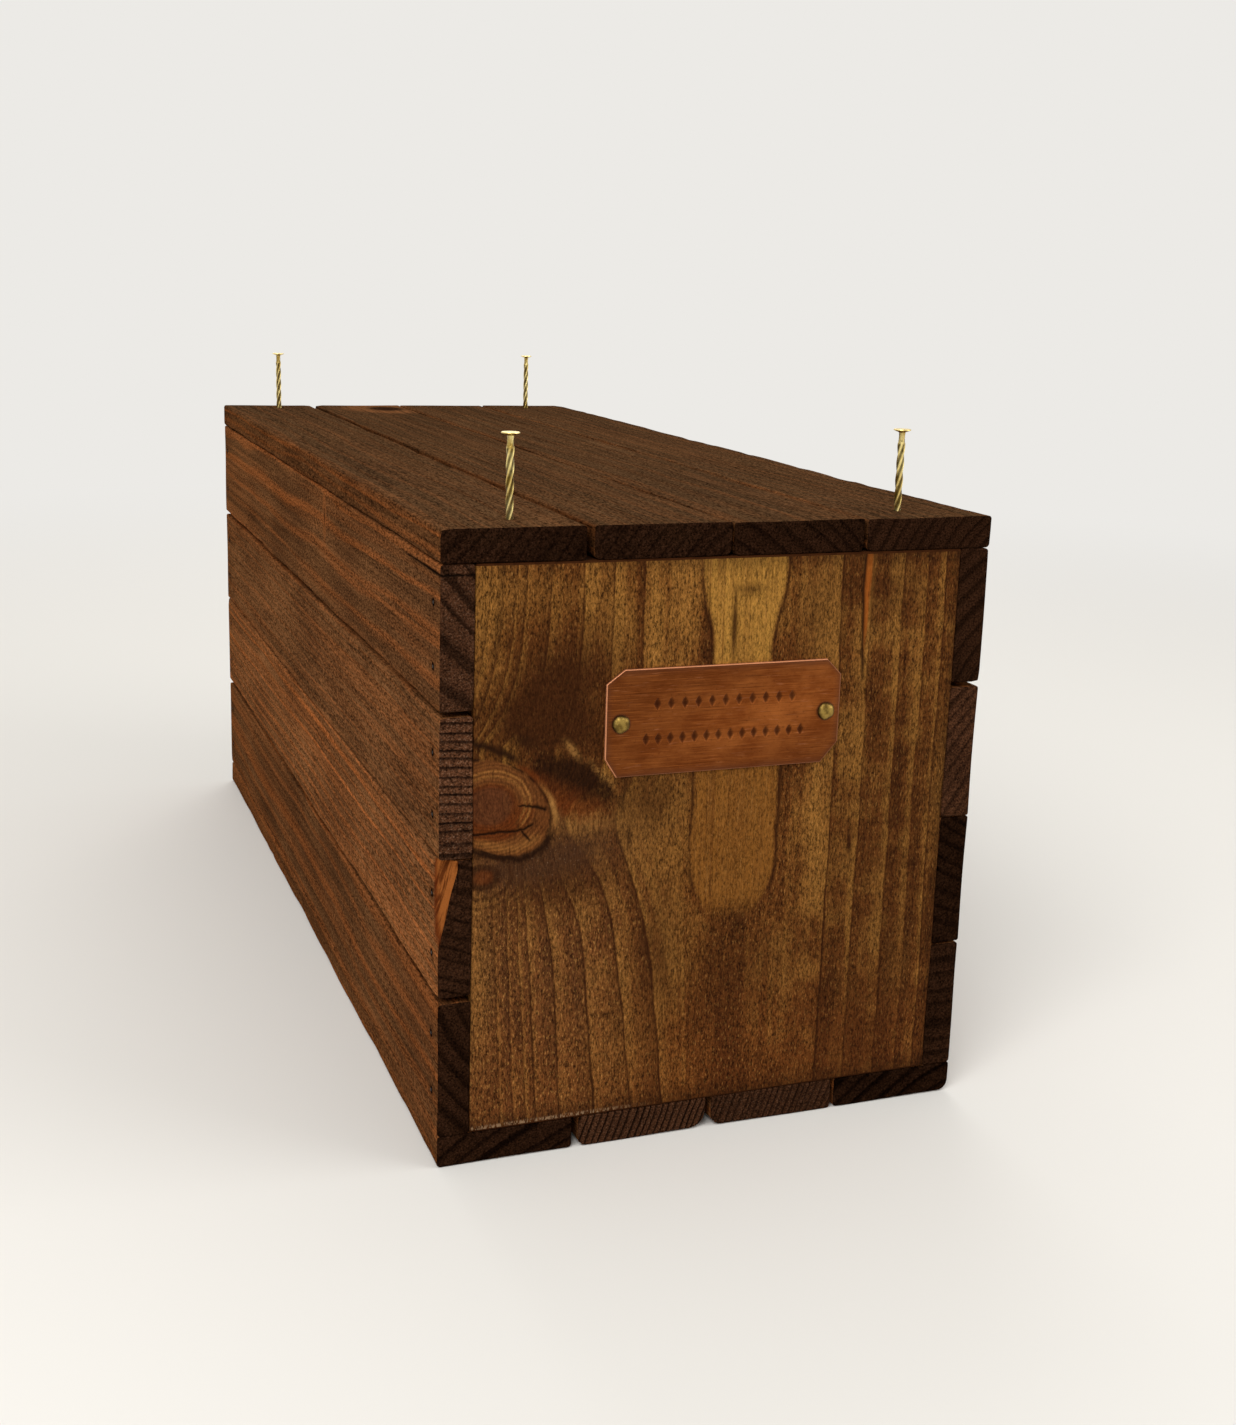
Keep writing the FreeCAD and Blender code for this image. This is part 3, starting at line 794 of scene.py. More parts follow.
def pulled(x, z, knot):
    # how far the grain is pushed aside by the knot, mm: above it by exp(-height / 17), below it
    # by exp(-(drop / 34)^2) and a slow lean, each over its own stretch of the board's width
    knotX, knotZ = knot
    rise = z - knotZ
    above = (rise.most(20.0) / -17.0).math("EXPONENT") * 56.0 * rise.ease(-20.0, 0.0)
    above = above * (x - knotX).bell(32.0)
    drop = (rise * -1).most(0.0)
    below = drop.bell(34.0) * rise.ease(12.0, -20.0) * x.ease(-80.0, -58.0) * 18.0
    below = below * (1 - x.ease(-58.0, -40.0) * 0.35) * x.ease(-12.0, -30.0)
    lean = drop * 0.05 * (x.ease(-58.0, -20.0) * 1.1 + 1) * x.ease(0.0, -16.0)
    return above + below - lean


def panelFinish(name, look):
    # upright late wood lines at set places across the board, pushed aside by the knot, over
    # mottled stain with fine flecks; a pale tongue rises in the middle between two dark edges
    finish, tree = newFinish(name)
    x, y, z = placeOn(tree)
    endFace = painted(tree, "look")[2]

    def upright(wide, long, detail=2.0, rough=0.5, shift=0.0):
        # noise with so many grains to the mm across the board and up it
        return cloud(tree, x * wide + shift, z * long, y * wide, detail, rough)

    wander = upright(0.02, 0.012) - 0.5
    quiver = upright(0.25, 0.05) - 0.5
    grain = x + wander * 3.0 + quiver * 1.2
    if look["knot"]:
        grain = grain + pulled(x, z, look["knot"])
    # half the board's width, and where the pale side of the lines changes over, mm
    edgeAt, turnOver = 92.0, 8.0
    leftStops = lineStops(look["leftLines"], -edgeAt, turnOver, 1)
    rightStops = lineStops(look["rightLines"], turnOver, edgeAt, -1)
    leftRamp = ramp((grain + edgeAt) / (edgeAt + turnOver), leftStops)
    rightRamp = ramp((grain - turnOver) / (edgeAt - turnOver), rightStops)
    lines = split(blend(grain.ease(turnOver - 0.5, turnOver + 0.5), leftRamp, rightRamp))
    broken = cloud(tree, grain * 0.5, z * 0.03, 2.0, 3.0, 0.65)
    late = lines[0] * (broken * 1.5 + z.ease(120.0, 70.0) * 0.3 + 0.15)
    bright = lines[1] ** 2.2

    mottle = upright(0.035, 0.02, 4.0, 0.62)
    fleck = upright(1.7, 0.6, 3.0, 0.75)
    glint = upright(1.5, 0.5, 2.0, 0.6, 17.0)
    flame = cloud(tree, grain * 0.2, z * 0.009, 7.0, 3.0, 0.6)
    curl = cloud(tree, x * 0.05 + z * 0.03, z * 0.11, 4.0)
    fibre = cloud(tree, grain * 1.5, z * 0.035, y * 1.5, 3.0, 0.7)
    pore = cloud(tree, x * 0.8, z * 0.14, y * 0.8 + 31.0, 2.0, 0.6).ease(0.62, 0.74)
    stripe = cloud(tree, x * 0.6, z * 0.01, 6.0, 3.0, 0.65)
    tone = bright * 0.55 + (mottle - 0.5) * 2.2 + (flame - 0.5) * 1.5
    tone = tone + (curl - 0.5) * x.ease(10.0, 60.0) * 1.2 + (z - 115.0) * 0.0008 + 0.27

    middle, low, halfWide, rounding = look["tongue"]
    waistHigh, waistReach, waistDepth = look["waist"]
    climb = ((z - low) / rounding).most(0.0).least(1.0)
    waist = 1 - (z - waistHigh).bell(waistReach) * waistDepth
    inside = (climb * (2 - climb)) ** 0.5 * waist * halfWide
    inside = inside - abs(x + wander * 3.0 - middle) + quiver * 2.6 - (low - z).most(0.0)
    tongue = inside.ease(-0.8, 1.4) * z.ease(low, low + 12.0)
    tongueColour = coat(
        look, "tongueLow",
        (z.ease(135.0, 185.0), "tongueTop"),
        (stripe.ease(0.45, 0.62) * (0.65 - x.ease(-3.0, 6.0) * 0.35), "base"),
        (flame.ease(0.46, 0.66) * 0.3, "base"),
        (fibre.ease(0.45, 0.3) * 0.4, "spark"),
    )
    shaded = smudges(x, z, look["clouds"])
    sparkling = x.ease(-20.0, -50.0) * z.ease(115.0, 95.0) * 0.3
    glow = (0.36 + sparkling - tongue * 0.1) * (1 - shaded * 0.85)
    colour = coat(
        look, ramp(tone, [(0.0, look["deep"]), (0.42, look["base"]), (1.0, look["pale"])]),
        (smudges(x, z, look["lights"]) * 0.8, "pale"),
        (x.ease(-8.0, -60.0) * z.ease(150.0, 105.0) * 0.3, "ashPale"),
        (shaded, "deep"),
        (z.ease(75.0, 20.0) * 0.33, "low"),
        (tongue * 0.8, tongueColour),
        (fleck.ease(0.5, 0.66) * (0.5 - bright * 0.2 - tongue * 0.2), "line"),
        (glint.ease(0.54, 0.7) * glow, "spark"),
    )
    edge = (inside + 0.7).bell(0.7) * broken.ease(0.25, 0.55) * z.ease(low + 4.0, low + 20.0)
    late = late * (1 - tongue) + edge * 0.9
    flecked = (0.5 - fleck) * (4.5 - tongue * 2.0) * (1 - shaded * 0.4) + 1.0
    colour = coat(
        look, dim(colour, flecked.most(0.2)),
        (late.least(1.0) * 0.95, "line"),
        (fibre.ease(0.52, 0.8) * 0.35, "line"),
    )
    relief = fibre * 0.6 + late * 0.5 - fleck * 0.8
    if look["knot"]:
        colour, relief = knotted(tree, look, colour, relief, x, z, quiver, wander, fibre, fleck)

    lowCorner, highCorner = boxOf("end_panel_front")
    up = z - lowCorner[2]
    # darker near the panel's edges: at the sides, more on the right, and towards the bottom; along the top,
    # more on the right, a painted shadow of the lid
    lidShadowAndEdgeDark = (abs(x) - highCorner[0]).ease(-5.0, 0.0) * (x.ease(-60.0, 0.0) * 0.35 + 0.1)
    lidShadowAndEdgeDark = lidShadowAndEdgeDark + up.ease(9.0, 0.0) * 0.6
    lidShadowAndEdgeDark = lidShadowAndEdgeDark + (z - highCorner[2]).ease(-8.0, 0.0) * (x.ease(-60.0, -20.0) * 0.4 + 0.1)
    # pale specks along the lowest 2.6 mm of the panel, more to the left
    lowPaleSpecks = up.ease(2.6, 1.5) * glint.ease(0.46, 0.56) * x.ease(-20.0, -50.0)
    arch = distance(x - 6.0, abs(y) - 300.0)
    archLine = (arch / 6.0 + mottle).math("FRACT").ease(0.4, 0.95)
    # painted shade of the nail hole in the panel's top end; the mesh has no hole
    nailX, nailY, nailZ = sum(boxOf("nail_front_right")) / 2
    hole = distance(abs(x) - nailX, abs(y) + nailY).ease(1.9, 1.4) * endFace
    colour = coat(
        look, colour,
        (pore * 0.6, "line"),
        ((lidShadowAndEdgeDark * (mottle + 0.5)).least(1.0) * 0.85, "shade"),
        (lowPaleSpecks * 0.7, "grit"),
        (endFace, coat(look, "deep", (archLine * 0.7, "line"))),
        (hole, "void"),
    )
    return dress(finish, {
        "Base Color": colour,
        "Roughness": 0.5 + fibre * 0.16 + late * 0.08 - tongue * 0.06,
        "Specular IOR Level": 0.01,
        "Normal": bump(relief, 0.0003, 0.6),
    })


# ovals about the knot and in the tongue: middle, half sizes, lean
knotOvals = {
    "whole": (-83.9, 131.9, 21.5, 15.3, -35.0),
    "core": (-86.0, 133.1, 13.6, 11.4),
    "shadowBelowKnot": (-69.0, 112.0, 27.0, 8.0, 9.0),
    "eye": (-88.2, 107.4, 1.3, 1.0),
    "gold": (-50.0, 124.0, 12.0, 4.0),
    "leaf": (-56.5, 137.6, 18.5, 11.6, -26.0),
    "lineEnd": (-73.9, 155.0, 4.2, 2.6, -20.0),
    "rightLine": (-37.3, 131.5, 0.7, 8.0, -8.0),
    "rightFoot": (-34.8, 117.0, 0.9, 4.5),
    "paleHigh": (-56.8, 151.0, 3.6, 1.2, -52.0),
    "paleLow": (-45.8, 141.4, 6.0, 1.1, -46.0),
    "wedge": (2.4, 192.0, 1.1, 10.0),
    "wedgeTop": (8.0, 205.0, 6.0, 2.2),
}


def knotted(tree, look, colour, relief, x, z, quiver, wander, fibre, fleck):
    # the knot is a leaning oval cut by the left edge: a core with fine rings, golden arcs round
    # it, two cracks painted dark as the shade in them; beside it a dark line, a tan band and a dark
    # leaf that is red at its lower side; along its lower edge a painted shadow line; below it a painted
    # shadow of dark grey-brown with pale specks that are painted glossy highlights, and a small eye;
    # a resin streak is at the top right
    def far(name):
        return oval(x, z, *knotOvals[name])

    def spot(name):
        return far(name).bell(1.0)

    cloudy = cloud(tree, x * 0.1, z * 0.1, 5.0, 3.0, 0.6)
    grit = cloud(tree, x * 0.9, z * 0.9, 3.0, 3.0, 0.7)
    ragged = cloud(tree, x * 0.36, z * 0.2, 9.0, 3.0, 0.65) - 0.5
    reach = far("whole") + (cloudy - 0.5) * 0.14
    core = far("core") + (cloudy - 0.5) * 0.12

    # the dark grey-brown zone below the knot is a painted shadow
    shadowBelowKnot = smudge(x, z + ragged * 5.0, *knotOvals["shadowBelowKnot"])
    eye = far("eye") + ragged * 2.4
    eyeRings = (eye * 1.8).math("SINE").ease(0.1, 0.9) * eye.ease(3.0, 4.5) * eye.ease(17.0, 7.0)
    leaf = (far("leaf") + ragged * 0.9 + (grit - 0.5) * 0.12).ease(1.1, 0.65)
    leafLow = (z - 138.6 + (x + 56.5) * 0.5 + ragged * 6.0).ease(2.0, -9.0)
    leafColour = coat(look, "shade", (leafLow, "knotRed"), (fibre.ease(0.4, 0.7) * 0.5, "deep"))
    inward = (x + 92.3).most(0.0)
    topLine = z - 155.5 + inward * 0.28 + inward * inward * 0.009 + ragged * 2.4
    topLine = topLine.bell(1.9) * x.ease(-73.0, -79.0)
    # under: a painted shadow line along the knot's lower edge
    under = (reach - 1.07 + ragged * 0.14).bell(0.07) * z.ease(124.5, 119.0)
    dark = topLine.most(under).most(spot("lineEnd") * 0.7)
    dark = dark.most(spot("rightLine").most(spot("rightFoot")) * 0.7)
    tan = (reach - 1.09 + ragged * 0.12).bell(0.06) * z.ease(123.0, 129.0) * x.ease(-80.0, -72.0)
    pale = spot("paleHigh") * (0.2 + grit.ease(0.3, 0.6))
    pale = pale.most(spot("paleLow") * grit.ease(0.4, 0.6) * 0.75)
    colour = coat(
        look, colour,
        ((shadowBelowKnot * 1.2).least(0.9), "ash"),
        # pale specks in the shadow below the knot: painted glossy highlights
        (grit.ease(0.6, 0.7) * shadowBelowKnot * 0.45, "grit"),
        (eyeRings * 0.5, "line"),
        (eye.ease(4.2, 2.0) * 0.6, "knotRed"),
        ((eye - 3.4).bell(1.1) * 0.6, "shade"),
        (spot("gold") * fibre.ease(0.7, 0.35) * 0.4, "spark"),
        (leaf * (0.96 - leafLow * 0.12), leafColour),
        (dark * 0.93, "shade"),
        ((tan * (0.5 + fibre * 0.6)).least(0.9), coat(look, "knotRed", (z.ease(143.0, 130.0), "spark"))),
        (pale.least(0.8) * 0.7, "spark"),
    )

    rings = (core * 54.0 + cloudy * 6.0 + quiver * 2.0).math("SINE") * 0.5 + 0.5
    upper = z.ease(129.0, 136.0)
    arcs = (core - 0.92).bell(0.045).most((core - 1.06).bell(0.05)) * upper.most(x.ease(-78.0, -73.0))
    body = coat(
        look, "knotCore",
        (core.ease(0.5, 0.72), "knotRed"),
        (core.ease(0.6, 0.8) * upper, "knotPale"),
        (core.ease(1.1, 1.25) * 0.8, "knotPale"),
        (arcs * grit.ease(0.3, 0.55) * 0.85, "knotGold"),
        ((reach - 0.83).bell(0.12) * z.ease(123.0, 119.5) * 0.6, "knotGold"),
        (rings * (core.ease(0.3, 1.0) * 0.2 + cloudy * 0.35), "knotRim"),
        (grit.ease(0.54, 0.7) * 0.3, "knotRim"),
    )
    inKnot = reach.ease(1.03, 0.96)
    rim = (reach - 1.02).bell(0.03) * cloudy.ease(0.35, 0.6)
    colour = coat(look, colour, (inKnot * 0.95, body), (rim * 0.8, "shade"))
    colour = dim(colour, (0.5 - fleck) * inKnot.most(leaf).most(shadowBelowKnot) * 2.2 + 1.0)

    # the cracks are painted dark as the shade in them
    gape = x.ease(-77.0, -66.0) * 0.5 + 0.3
    shortCrack = ((z - 131.4 + (x + 70.0) * 0.157 + quiver * 2.5) / gape).bell(1.0)
    shortCrack = shortCrack * x.ease(-77.0, -75.0) * x.ease(-64.5, -66.5)
    lowCrack = z - 123.3 - (x + 77.0).most(0.0) * 0.25 + quiver * 2.5
    lowCrack = lowCrack.bell(0.5) * x.ease(-69.5, -71.0)
    branch = (x + 74.6 + (z - 123.5) * 0.74 + quiver * 2.0).bell(0.5)
    branch = branch * z.ease(118.5, 120.0) * z.ease(124.5, 123.0)
    crack = shortCrack.most(lowCrack).most(branch)
    resinWide = ((z - 172.0) * 0.045).most(0.0).least(1.5)
    resinWay = x - 54.4 + wander * 2.0 + quiver * 1.5
    resin = (abs(resinWay) - resinWide).ease(0.5, -0.5) * z.ease(172.0, 192.0) * (fibre * 1.1 + 0.2)
    colour = coat(
        look, colour,
        (crack * 0.92, "void"),
        (resin.least(0.85), "resin"),
        ((resinWay - resinWide - 0.7).bell(0.5) * z.ease(176.0, 190.0) * 0.3, "pale"),
        ((resinWay + resinWide).bell(0.8) * z.ease(165.0, 176.0) * 0.9, "shade"),
        ((spot("wedge") + spot("wedgeTop") * 0.6).least(0.8), "line"),
    )
    relief = relief + inKnot * 0.8 + rings * inKnot * 0.4 - crack * 2.5 - under * 0.8
    return colour, relief


panelForm = dict(boardForm, acrossSteps=40, edgeSteps=8, endRound=0.8, wander=0.14, nick=0.3)
panelBoard = board((0, 0), 6.0, 1.0, 1.0, corners=(0.9, 0.9, 0.9, 0.9))
panels = {"front": frontPanel, "back": backPanel}
for seed, (end, look) in enumerate(panels.items(), 41):
    panelWood = panelFinish(end + "PanelWood", look)
    makeBoard("end_panel_" + end, end, panelBoard, seed, panelForm, panelWood, "board")
print("panels made:", len(panels))

copperPlate = {
    "bright": tint(154, 88, 40),
    "body": tint(116, 58, 21),
    "brown": tint(78, 38, 15),
    "punched": tint(52, 24, 12),
    "edge": tint(214, 146, 104),
    "highlightPatch": (20.0, 161.0, 44.0, 14.0, 12.0),     # a wide patch that stays bright while the rest browns, a painted highlight: middle, half sizes, lean
    # what the corners lose: top left, top right, low right, low left
    "clips": ((6.8, 5.0), (5.8, 5.9), (6.6, 7.5), (4.4, 6.9)),
    "edgeRound": 0.35,
    "edgeSteps": (0, 0.0012, 0.003, 0.006),         # shares of the width and height, close at the rim
    "cutWide": 0.28,
    "tarnishReach": 3.2,
    "pinShadeRing": (3.2, 0.9),                          # radius and width of the painted shade round a pin, where it meets the plate
    "bow": 0.12,
    "dotRows": ((6.4, 11, 5.2), (-6.2, 14, 4.6)),   # height, count, gap
    "dotSize": (1.35, 2.3),                         # half width and height of a lozenge
    "dotDepth": 0.42,
    "dotLip": (0.05, 1.18, 0.18),                   # height, place and width of the raised lip
    "steps": (361, 151),
}


def copperFinish(look):
    # brushed across the width, browner in patches and near the rim, with painted shade in a ring round
    # each pin; browner away from a wide patch that stays bright, a painted highlight; bright on the cut
    # edge, and brighter still along the top and left edges, a painted highlight
    finish, tree = newFinish("plateCopper")
    x, y, z = placeOn(tree)
    tarnishAndPinShade, dent, cutAndLitEdge = painted(tree, "wear")
    brush = cloud(tree, x * 0.05, z * 2.0, y, 3.0, 0.75)
    pit = cloud(tree, x * 0.9, z * 1.1, y, 2.0, 0.6)
    scratch = cloud(tree, x * 0.12 + z * 0.06, z * 1.3, y + 8.0, 2.0, 0.6)
    patch = cloud(tree, x * 0.07, z * 0.11, y, 4.0, 0.65)
    tarnishAndShade = (tarnishAndPinShade * (0.35 + patch)).ease(0.25, 0.95) * 0.75
    colour = coat(
        look, "body",
        (patch.ease(0.3, 0.72), "bright"),
        ((1 - smudge(x, z, *look["highlightPatch"])) * 0.62, "brown"),
        (brush.ease(0.5, 0.7) * 0.6, "bright"),
        (brush.ease(0.48, 0.28) * 0.6, "brown"),
        (scratch.ease(0.6, 0.74) * 0.14, "edge"),
        (pit.ease(0.6, 0.72) * 0.4, "brown"),
        (tarnishAndShade, "brown"),
        (dent * 0.85, "punched"),
        (cutAndLitEdge * 0.9, "edge"),
    )
    return dress(finish, {
        "Base Color": colour,
        "Metallic": 1.0 - tarnishAndShade * 0.25,
        "Roughness": 0.36 + brush * 0.16 + tarnishAndShade * 0.2 + dent * 0.2,
        "Normal": bump(brush + scratch * 0.5, 0.0002, 0.35),
    })


def plateSurface(look):
    # a sheet over (across, height): both side edges step in at the clipped corners, the face
    # bows as a product of sines, rolls back at its rim, and sinks by a lozenge at each punch
    low, high = boxOf("copper_plate")
    half = (high - low) / 2
    middle = (low + high) / 2
    close = np.array(look["edgeSteps"])

    def spread(count):
        return np.concatenate([close, np.linspace(0.01, 0.99, count - 2 * len(close)), 1 - close[::-1]])

    columns, rows = look["steps"]
    share, level = np.meshgrid(spread(columns), spread(rows) * 2 - 1)
    height = level * half[2]
    topLeft, topRight, lowRight, lowLeft = look["clips"]

    def stepIn(upper, lower):
        over = np.clip((height - half[2] + upper[1]) / upper[1], 0, 1) * upper[0]
        under = np.clip((-height - half[2] + lower[1]) / lower[1], 0, 1) * lower[0]
        return over + under

    leftEdge = -half[0] + stepIn(topLeft, lowLeft)
    rightEdge = half[0] - stepIn(topRight, lowRight)
    across = leftEdge + (rightEdge - leftEdge) * share
    gap = np.minimum(np.minimum(across - leftEdge, rightEdge - across), half[2] - np.abs(height))
    roll = np.clip(1 - gap / look["edgeRound"], 0, 1)
    sink = look["edgeRound"] * (1 - np.sqrt(1 - roll ** 2))
    sink = sink + look["bow"] * (1 + np.sin(across * 0.11 + 0.6) * np.sin(height * 0.16 + 0.4)) / 2
    dent = np.zeros_like(across)
    lipHigh, lipPlace, lipWide = look["dotLip"]
    for row, count, step in look["dotRows"]:
        nearest = np.clip(np.round(across / step + (count - 1) / 2), 0, count - 1)
        aside = np.abs(across - (nearest - (count - 1) / 2) * step) / look["dotSize"][0]
        reach = (aside ** 1.25 + (np.abs(height - row) / look["dotSize"][1]) ** 1.25) ** 0.8
        dent = np.maximum(dent, np.clip(1 - reach ** 2, 0, 1))
        sink = sink - lipHigh * np.exp(-((reach - lipPlace) / lipWide) ** 2)
    sink = sink + look["dotDepth"] * np.sqrt(dent)
    face = np.column_stack([middle[0] + across.ravel(), low[1] + sink.ravel(), middle[2] + height.ravel()])

    grid = np.arange(share.size).reshape(share.shape)
    quads = np.stack([grid[:-1, :-1], grid[:-1, 1:], grid[1:, 1:], grid[1:, :-1]], axis=2).reshape(-1, 4)
    rim = np.concatenate([grid[0, :-1], grid[:-1, -1], grid[-1, :0:-1], grid[:0:-1, 0]])
    behind = face[rim].copy()
    behind[:, 1] = high[1]
    turn = len(face) + np.arange(len(rim))
    wall = np.stack([rim, turn, np.roll(turn, -1), np.roll(rim, -1)], axis=1)
    faces = quads.tolist() + wall.tolist() + [turn[::-1].tolist()]

    tarnishAndPinShade = np.exp(-gap / look["tarnishReach"])
    # a ring of painted shade round each pin, where it meets the plate
    ringAt, ringWide = look["pinShadeRing"]
    for pin in pins:
        seat = sum(boxOf(pin)) / 2 - middle
        pinFar = np.hypot(across - seat[0], height - seat[2])
        tarnishAndPinShade = np.maximum(tarnishAndPinShade, 0.9 * np.exp(-((pinFar - ringAt) / ringWide) ** 2))
    # all cut edges are bright; the top and left edges brighter still, a painted highlight
    lit = np.minimum(across - leftEdge, half[2] - height) < look["cutWide"]
    cutAndLitEdge = np.where(gap < look["cutWide"], 0.3 + 0.7 * lit, 0.0)
    wear = np.column_stack([tarnishAndPinShade.ravel(), np.sqrt(dent).ravel(), cutAndLitEdge.ravel()])
    wear = np.concatenate([wear, np.tile((0.4, 0, 1), (len(rim), 1))])
    return np.concatenate([face, behind]), faces, wear


pins = ("plate_pin_left", "plate_pin_right")
points, faces, wear = plateSurface(copperPlate)
plateCopper = copperFinish(copperPlate)
putPiece("copper_plate", "sheet", points, faces, plateCopper, {"wear": ("POINT", wear)}, 50.0)
print("plate made:", len(points), "points")

brassPins = {"bright": tint(158, 130, 66), "body": tint(104, 82, 38), "dull": tint(48, 38, 20)}
brassNails = {"bright": tint(248, 226, 152), "body": tint(184, 150, 70), "dull": tint(30, 21, 6)}
steelBrads = {"bright": tint(52, 40, 31), "body": tint(28, 20, 14), "dull": tint(16, 11, 8)}


def metalFinish(name, look, metallic, smooth, size):
    # a worn metal: cloudy from dull to bright, dull where the painted groove value is high
    finish, tree = newFinish(name)
    x, y, z = placeOn(tree, size)
    groove, rim = painted(tree, "wear")[:2]
    patch = cloud(tree, x, y, z, 3.0, 0.6)
    fine = cloud(tree, x * 5.0, y * 5.0, z * 2.0, 3.0, 0.7)
    colour = coat(
        look, "body",
        (patch.ease(0.35, 0.65), "bright"),
        (fine.ease(0.55, 0.8) * 0.5, "dull"),
        ((groove * (0.6 + fine * 0.6)).least(1.0), "dull"),
        (rim * 0.7, "bright"),
    )
    return dress(finish, {
        "Base Color": colour,
        "Metallic": metallic,
        "Roughness": smooth + fine * 0.2 + groove * 0.15,
        "Normal": bump(fine, 0.0002, 0.3),
    })


def turned(profile, steps, square=None):
    # a profile (radius, height) carried round the axis, closed by a point at each end; square
    # gives the twist angle and the power of the rounded square at each height
    radius, height = profile[1:-1, 0][:, None], profile[1:-1, 1][:, None]
    angle = np.linspace(0, 2 * np.pi, steps, endpoint=False)[None, :]
    turn = np.zeros_like(radius)
    if square is not None:
        power = square[1:-1, 1][:, None]
        radius = radius / (np.abs(np.cos(angle)) ** power + np.abs(np.sin(angle)) ** power) ** (1 / power)
        turn = square[1:-1, 0][:, None]
    x, y = radius * np.cos(angle + turn), radius * np.sin(angle + turn)
    z = np.broadcast_to(height, x.shape)
    body = np.stack([x, y, z], axis=2).reshape(-1, 3)
    points = np.concatenate([body, [[0, 0, profile[0, 1]], [0, 0, profile[-1, 1]]]])
    base = (np.arange(len(radius) - 1) * steps)[:, None]
    low = ringFan(0, len(body), steps)[:, [1, 0, 2]]
    high = ringFan(len(body) - steps, len(body) + 1, steps)
    return points, ringQuads(base, base + steps, steps), np.concatenate([low, high])


nailForm = {
    "across": 2.28,       # over the flats
    "pitch": 25.0,        # one full turn, mm
    "tip": 0.2,
    "pointLong": 5.0,
    "pointSteps": 9,
    "shankSteps": 130,
    "neckLong": 4.0,
    "neckWide": 2.4,
    "headWide": 6.4,
    "headRim": 0.5,
    "headCone": 0.8,
    "power": 5.5,         # how square the shank is
    "steps": 40,
}


def nailSurface(form, length):
    # a rounded square turned steadily along the shank, a round neck, and a flat head on a cone
    half, neck, head = form["across"] / 2, form["neckWide"] / 2, form["headWide"] / 2
    coneTop = length - form["headRim"]
    shankTop = coneTop - form["headCone"] - form["neckLong"]
    rise = np.linspace(0, 1, form["pointSteps"])
    point = np.column_stack([form["tip"] + (half - form["tip"]) * rise, form["pointLong"] * rise])
    level = np.linspace(form["pointLong"], shankTop, form["shankSteps"])[1:]
    shank = np.column_stack([np.full(len(level), half), level])
    upper = np.array([
        (neck, shankTop + 0.6), (neck, coneTop - form["headCone"]),
        (neck + 0.3, coneTop - 0.75 * form["headCone"]), (head - 0.25, coneTop - 0.08),
        (head, coneTop + 0.08), (head, length - 0.2), (head - 0.08, length - 0.07),
        (head - 0.3, length - 0.01), (head * 0.5, length),
    ])
    profile = np.concatenate([[(0, 0)], point, shank, upper, [(0, length)]])
    power = np.where(np.arange(len(profile)) <= len(point) + len(shank), form["power"], 2.0)
    twist = 2 * np.pi * profile[:, 1] / form["pitch"]
    points, quads, fans = turned(profile, form["steps"], np.column_stack([twist, power]))
    radius = np.hypot(points[:, 0], points[:, 1])
    onShank = points[:, 2] < shankTop
    flat = np.clip((half * 1.22 - radius) / (half * 0.2), 0, 1) * onShank
    underHead = np.clip(1 - np.abs(points[:, 2] - shankTop - form["neckLong"] / 2) / 3.0, 0, 1)
    groove = np.maximum(flat * 0.9, underHead * 0.6 * (radius < head * 0.7))
    rim = (points[:, 2] > coneTop) * 0.8 + (radius > half * 1.2) * onShank * 0.5
    return points, quads.tolist() + fans.tolist(), np.column_stack([groove, rim, rim * 0])


nailBrass = metalFinish("nailBrass", brassNails, 1.0, 0.2, 160.0)
for node in nails:
    low, high = boxOf(node)
    points, faces, wear = nailSurface(nailForm, high[2] - low[2])
    foot = np.array([*(low + high)[:2] / 2, low[2]])
    putPiece(node, "twisted", points + foot, faces, nailBrass, {"wear": ("POINT", wear)}, 32.0)
print("nails made:", len(nails))

pinForm = {
    "headWide": 6.4,
    "headHigh": 2.0,
    "rim": 0.25,          # height of the straight rim under the dome
    "wide": 1.8,
    "long": 14.0,
    "point": 2.5,
    "steps": 40,
}


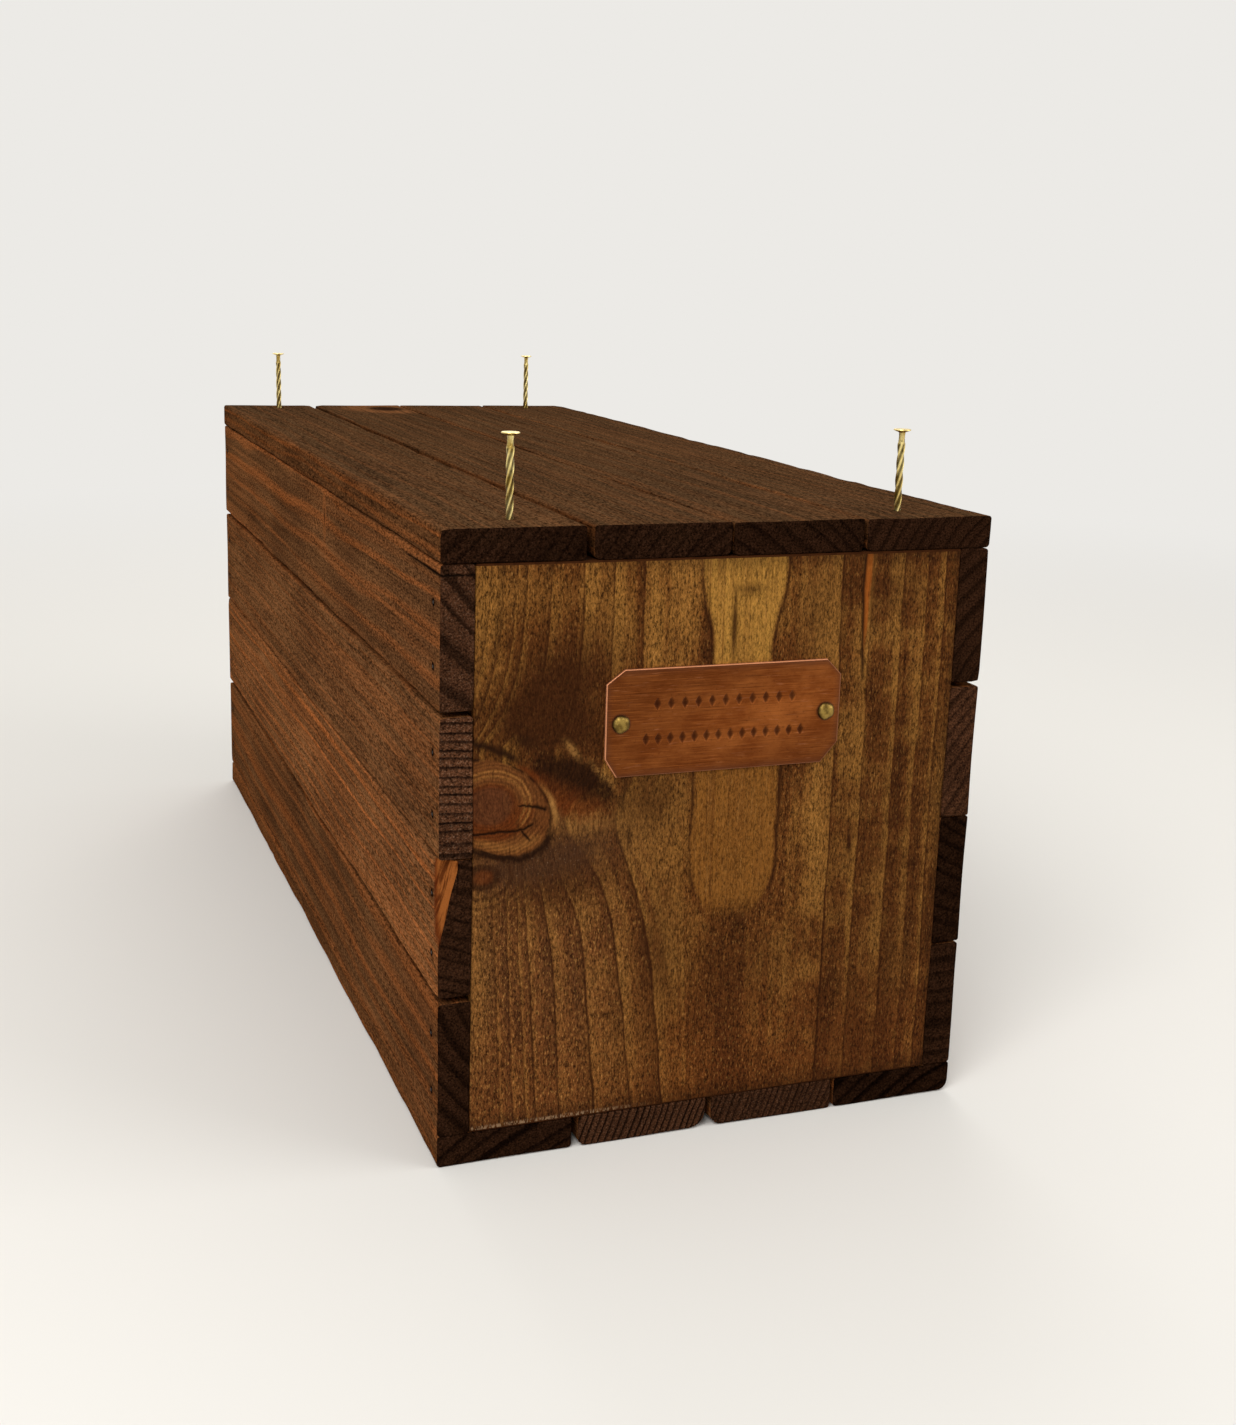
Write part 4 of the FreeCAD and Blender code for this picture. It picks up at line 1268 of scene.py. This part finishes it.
def pinSurface(form):
    # a pointed round shank and a domed head, the dome a quarter ellipse with a few flat dings
    head, shank, seat = form["headWide"] / 2, form["wide"] / 2, form["long"]
    turn = np.linspace(0, np.pi / 2, 13)
    domeHigh = seat + form["rim"] + (form["headHigh"] - form["rim"]) * np.sin(turn)
    stem = [(0, 0), (shank, form["point"]), (shank, seat - 0.02), (head - 0.15, seat), (head, seat + 0.1)]
    profile = np.concatenate([stem, np.column_stack([head * np.cos(turn), domeHigh])])
    profile[-1, 0] = 0
    points, quads, fans = turned(profile, form["steps"])
    angle = np.arctan2(points[:, 1], points[:, 0])
    over = points[:, 2] > seat + 0.4
    ding = over * 0.06 * (np.sin(angle * 3 + points[:, 2] * 2) + np.sin(angle * 5 + 1.3))
    points[:, :2] = points[:, :2] * (1 - ding[:, None] * 0.5)
    level = (points[:, 2] - seat) / form["headHigh"]
    groove = np.clip(1.3 - level * 1.6, 0, 1) * 0.9
    return points, quads.tolist() + fans.tolist(), np.column_stack([groove, level * 0, level * 0])


pinBrass = metalFinish("pinBrass", brassPins, 1.0, 0.26, 420.0)
for node in pins:
    low, high = boxOf(node)
    points, faces, wear = pinSurface(pinForm)
    forward = np.column_stack([points[:, 0], -points[:, 2], points[:, 1]])
    middle = (low + high) / 2
    foot = np.array([middle[0], high[1], middle[2]])
    putPiece(node, "dome", forward + foot, faces, pinBrass, {"wear": ("POINT", wear)}, 50.0)
print("pins made:", len(pins))

bradForm = {"wide": 1.2, "long": 30.0, "point": 1.5, "proud": 0.14, "steps": 16}


def bradSurface(form, heads, axis, way):
    # a pointed wire with a slightly domed end, set at every head and driven inwards
    half, proud = form["wide"] / 2, form["proud"]
    profile = np.array([
        (0, -form["long"]), (half, form["point"] - form["long"]), (half, -2.0), (half, proud - 0.12),
        (half * 0.8, proud - 0.04), (half * 0.4, proud), (0, proud),
    ])
    points, quads, fans = turned(profile, form["steps"])
    order = {0: (2, 0, 1), 2: (0, 1, 2)}[axis]
    points = points[:, order]
    points[:, axis] = points[:, axis] * way
    if way < 0:
        quads, fans = quads[:, ::-1], fans[:, ::-1]
    every = (heads[:, None, :] + points[None]).reshape(-1, 3)
    step = (np.arange(len(heads)) * len(points))[:, None, None]
    faces = (step + quads[None]).reshape(-1, 4).tolist() + (step + fans[None]).reshape(-1, 3).tolist()
    rust = np.tile(np.clip(-points[:, axis] * way, 0, 1), len(heads))
    return every, faces, np.column_stack([rust, rust * 0, rust * 0])


bradSteel = metalFinish("bradSteel", steelBrads, 0.2, 0.7, 900.0)
for node, axis, way, radius in fixings.values():
    points, faces, wear = bradSurface(bradForm, bradHeads(node, axis, way), axis, way)
    putPiece(node, "wires", points, faces, bradSteel, {"wear": ("POINT", wear)}, 50.0)
hidden = frame["nodes"]["lid_brads"].data.materials
hidden.clear()
hidden.append(bradSteel)
print("brads made:", len(fixings), "rows")
